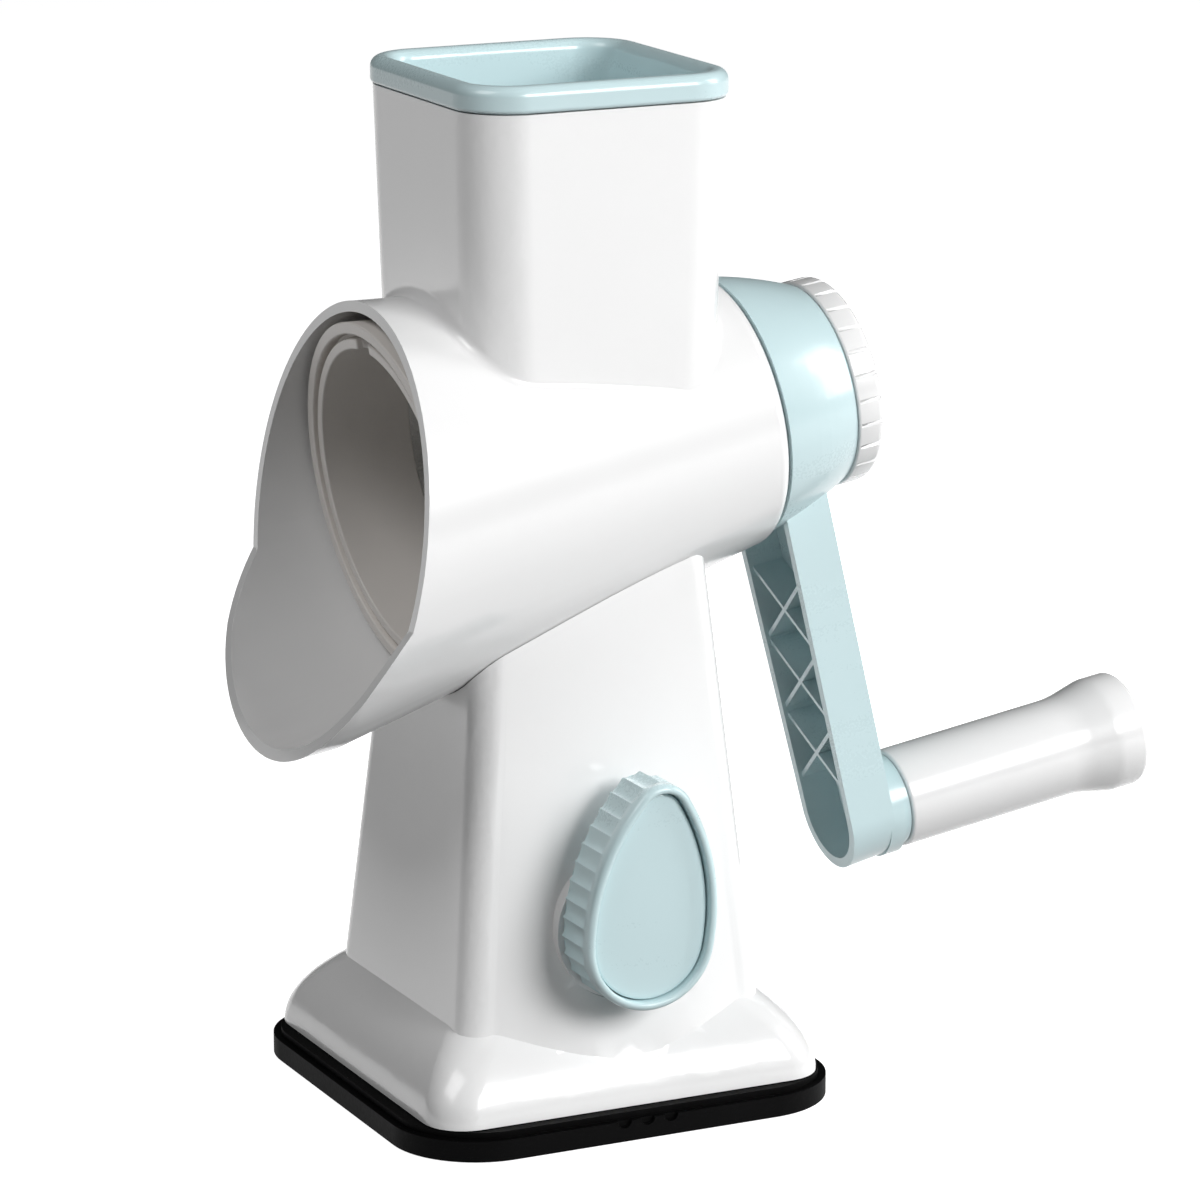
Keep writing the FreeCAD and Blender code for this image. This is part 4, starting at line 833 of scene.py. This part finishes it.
def egg_shell(name, rows, count, grooved=None):
    """Closed egg-shaped piece from rows of (inset, depth); the first and last row are closed flat."""
    work = bmesh.new()
    share = work.verts.layers.float.new("around")
    mask = work.verts.layers.float.new("groove")
    rings = []
    for inset, depth in rows:
        ring = []
        for number, (x, z) in enumerate(egg_outline(inset, count)):
            vert = work.verts.new(Vector((-depth, -x, z)) * MM)
            vert[share] = number / count
            vert[mask] = grooved(inset, depth) if grooved else 0.0
            ring.append(vert)
        rings.append(ring)
    for ring, following in zip(rings, rings[1:]):
        for number in range(count):
            after = (number + 1) % count
            work.faces.new((ring[number], ring[after], following[after], following[number]))
    work.faces.new(rings[0])
    work.faces.new(rings[-1])
    return new_object(name, close_mesh(work, name))


def lever_groove(inset, depth):
    """Share of the full flute depth: flutes run out at the back and end in a cove before the rim."""
    if inset > 0.9 or depth > COVE_START + COVE_DEPTH:
        return 0.0
    return math.sqrt(max(0.0, 1 - max(0.0, (depth - COVE_START) / COVE_DEPTH) ** 2))


class GRATER_OT_lever(GraterOperator, bpy.types.Operator):
    """Fluted suction lever and its face plate"""

    bl_idname = "grater.lever"
    bl_label = "Suction Lever"

    def execute(self, context):
        size = sizes()
        wall = [(0.0, 1.0 + 0.66 * step) for step in range(20)]
        # From the back edge up the fluted wall, over the rounded rim and down into the recess
        rows = [(1.1, 0.0), (0.4, 0.25)] + wall + [
            (0.0, 14.2), (0.0, 15.8), (0.12, 16.5), (0.45, 17.1), (1.0, 17.5), (1.5, 17.6),
            (2.0, 17.45), (2.3, 17.1), (2.4, 16.6), (2.4, 10.4), (2.5, 10.2), (2.8, 10.1)]
        body = egg_shell("lever_body", rows, size.lever_flutes * 18, lever_groove)
        grow(body, flute_tree(), "blue_plastic",
             Count=size.lever_flutes, Depth=size.lever_depth, Width=FLUTE_WIDTH)
        settle(body)
        dress(shade(moved(body, LEVER_DRAWN), 40.0), "lever_shell")
        rows = [(3.3, 12.8), (2.8, 13.2), (2.8, 14.7), (2.9, 15.0), (3.25, 15.17), (3.7, 15.2)]
        plate = egg_shell("lever_plate", rows, 240)
        dress(shade(moved(plate, LEVER_DRAWN), 40.0), "lever_face")
        return {"FINISHED"}


class GRATER_OT_works(GraterOperator, bpy.types.Operator):
    """Screws, shafts, washers, spring and the other works inside"""

    bl_idname = "grater.works"
    bl_label = "Inner Works"

    def execute(self, context):
        spring = shade(new_object("stem_spring", loose_copy("return_spring")), 40.0)
        dress(spring, "return_spring")
        # The spring hangs under the guide plate and is pressed against it as the stem rises.
        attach(spring, "stand")
        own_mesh(spring)
        for node, thing in frame["nodes"].items():
            if thing.hide_render:
                continue
            thing.data.materials.clear()
            thing.data.materials.append(finish_of(SLOT_OF[node]))
        return {"FINISHED"}


# ---------------------------------------------------------------- stage

def soft_light(name, power, wide, high, spot, aim):
    lamp = bpy.data.lights.new(name, "AREA")
    lamp.shape = "RECTANGLE"
    lamp.energy = power
    lamp.size, lamp.size_y = wide, high
    thing = bpy.data.objects.new(name, lamp)
    bpy.context.scene.collection.objects.link(thing)
    thing.location = spot
    thing.rotation_mode = "QUATERNION"
    thing.rotation_quaternion = (Vector(aim) - Vector(spot)).to_track_quat("-Z", "Y")
    return thing


class GRATER_OT_stage(GraterOperator, bpy.types.Operator):
    """Pale floor, soft studio lights and the camera"""

    bl_idname = "grater.stage"
    bl_label = "Studio Stage"

    def execute(self, context):
        setting = context.scene.grater_stage
        work = bmesh.new()
        bmesh.ops.create_grid(work, x_segments=8, y_segments=8, size=6.0)
        mesh = bpy.data.meshes.new("studio_floor")
        work.to_mesh(mesh)
        work.free()
        mesh.transform(Matrix.Translation((0, 0, -0.0003)))
        floor = new_object("studio_floor", mesh)
        floor.data.materials.append(pale_floor("Studio paper"))
        # The paper shows and reflects, but the shells are shaped by the lamps alone.
        floor.visible_diffuse = False

        world = bpy.data.worlds.new("studio")
        world.use_nodes = True
        world.node_tree.nodes.clear()
        graph = Graph(world.node_tree)
        surround = graph.wire("ShaderNodeBackground", values={
            "Color": (1, 1, 1, 1), "Strength": setting.sky})
        graph.node("ShaderNodeOutputWorld", values={"Surface": surround})
        context.scene.world = world

        middle = (0.0, 0.0, 0.14)
        soft_light("key", setting.key, 0.8, 0.7, (0.6, -1.5, 0.85), middle)
        soft_light("edge", setting.key * 0.5, 0.5, 0.9, (1.5, -0.5, 0.7), middle)
        soft_light("fill", setting.key * 0.34, 0.8, 0.8, (-1.0, -0.2, 1.4), middle)

        lens = bpy.data.cameras.new("camera")
        lens.sensor_width = 36
        lens.lens = setting.lens
        lens.clip_end = 50
        camera = bpy.data.objects.new("camera", lens)
        context.scene.collection.objects.link(camera)
        camera.location = Vector((-621.53, -1317.04, 494.14)) * MM
        camera.rotation_mode = "QUATERNION"
        camera.rotation_quaternion = Vector((0.42349, 0.87387, -0.23875)).to_track_quat("-Z", "Y")
        context.scene.camera = camera
        context.scene.view_settings.view_transform = "Standard"
        return {"FINISHED"}


OPERATORS = [
    GRATER_OT_barrel, GRATER_OT_stand, GRATER_OT_pad, GRATER_OT_pusher, GRATER_OT_crank,
    GRATER_OT_drum, GRATER_OT_grating, GRATER_OT_lock, GRATER_OT_grip, GRATER_OT_lever,
    GRATER_OT_works, GRATER_OT_stage,
]


class GRATER_PT_panel(bpy.types.Panel):
    """Lists the pieces, their colours and their sizes"""

    bl_idname = "GRATER_PT_panel"
    bl_label = "Rotary Grater"
    bl_space_type = "VIEW_3D"
    bl_region_type = "UI"
    bl_category = "Grater"

    def draw(self, context):
        for group in (colours(), sizes(), context.scene.grater_stage):
            column = self.layout.column(align=True)
            for name in group.__annotations__:
                column.prop(group, name)
        for operator in OPERATORS:
            self.layout.operator(operator.bl_idname)


CLASSES = [GraterColours, GraterSizes, GraterStage] + OPERATORS + [GRATER_PT_panel]


def register():
    for made in CLASSES:
        bpy.utils.register_class(made)
    bpy.types.Scene.grater_colours = bpy.props.PointerProperty(type=GraterColours)
    bpy.types.Scene.grater_sizes = bpy.props.PointerProperty(type=GraterSizes)
    bpy.types.Scene.grater_stage = bpy.props.PointerProperty(type=GraterStage)


def unregister():
    for name in ("grater_colours", "grater_sizes", "grater_stage"):
        delattr(bpy.types.Scene, name)
    for made in reversed(CLASSES):
        bpy.utils.unregister_class(made)


def main():
    register()
    for operator in OPERATORS:
        group, name = operator.bl_idname.split(".")
        getattr(getattr(bpy.ops, group), name)()


if __name__ == "__main__":
    main()
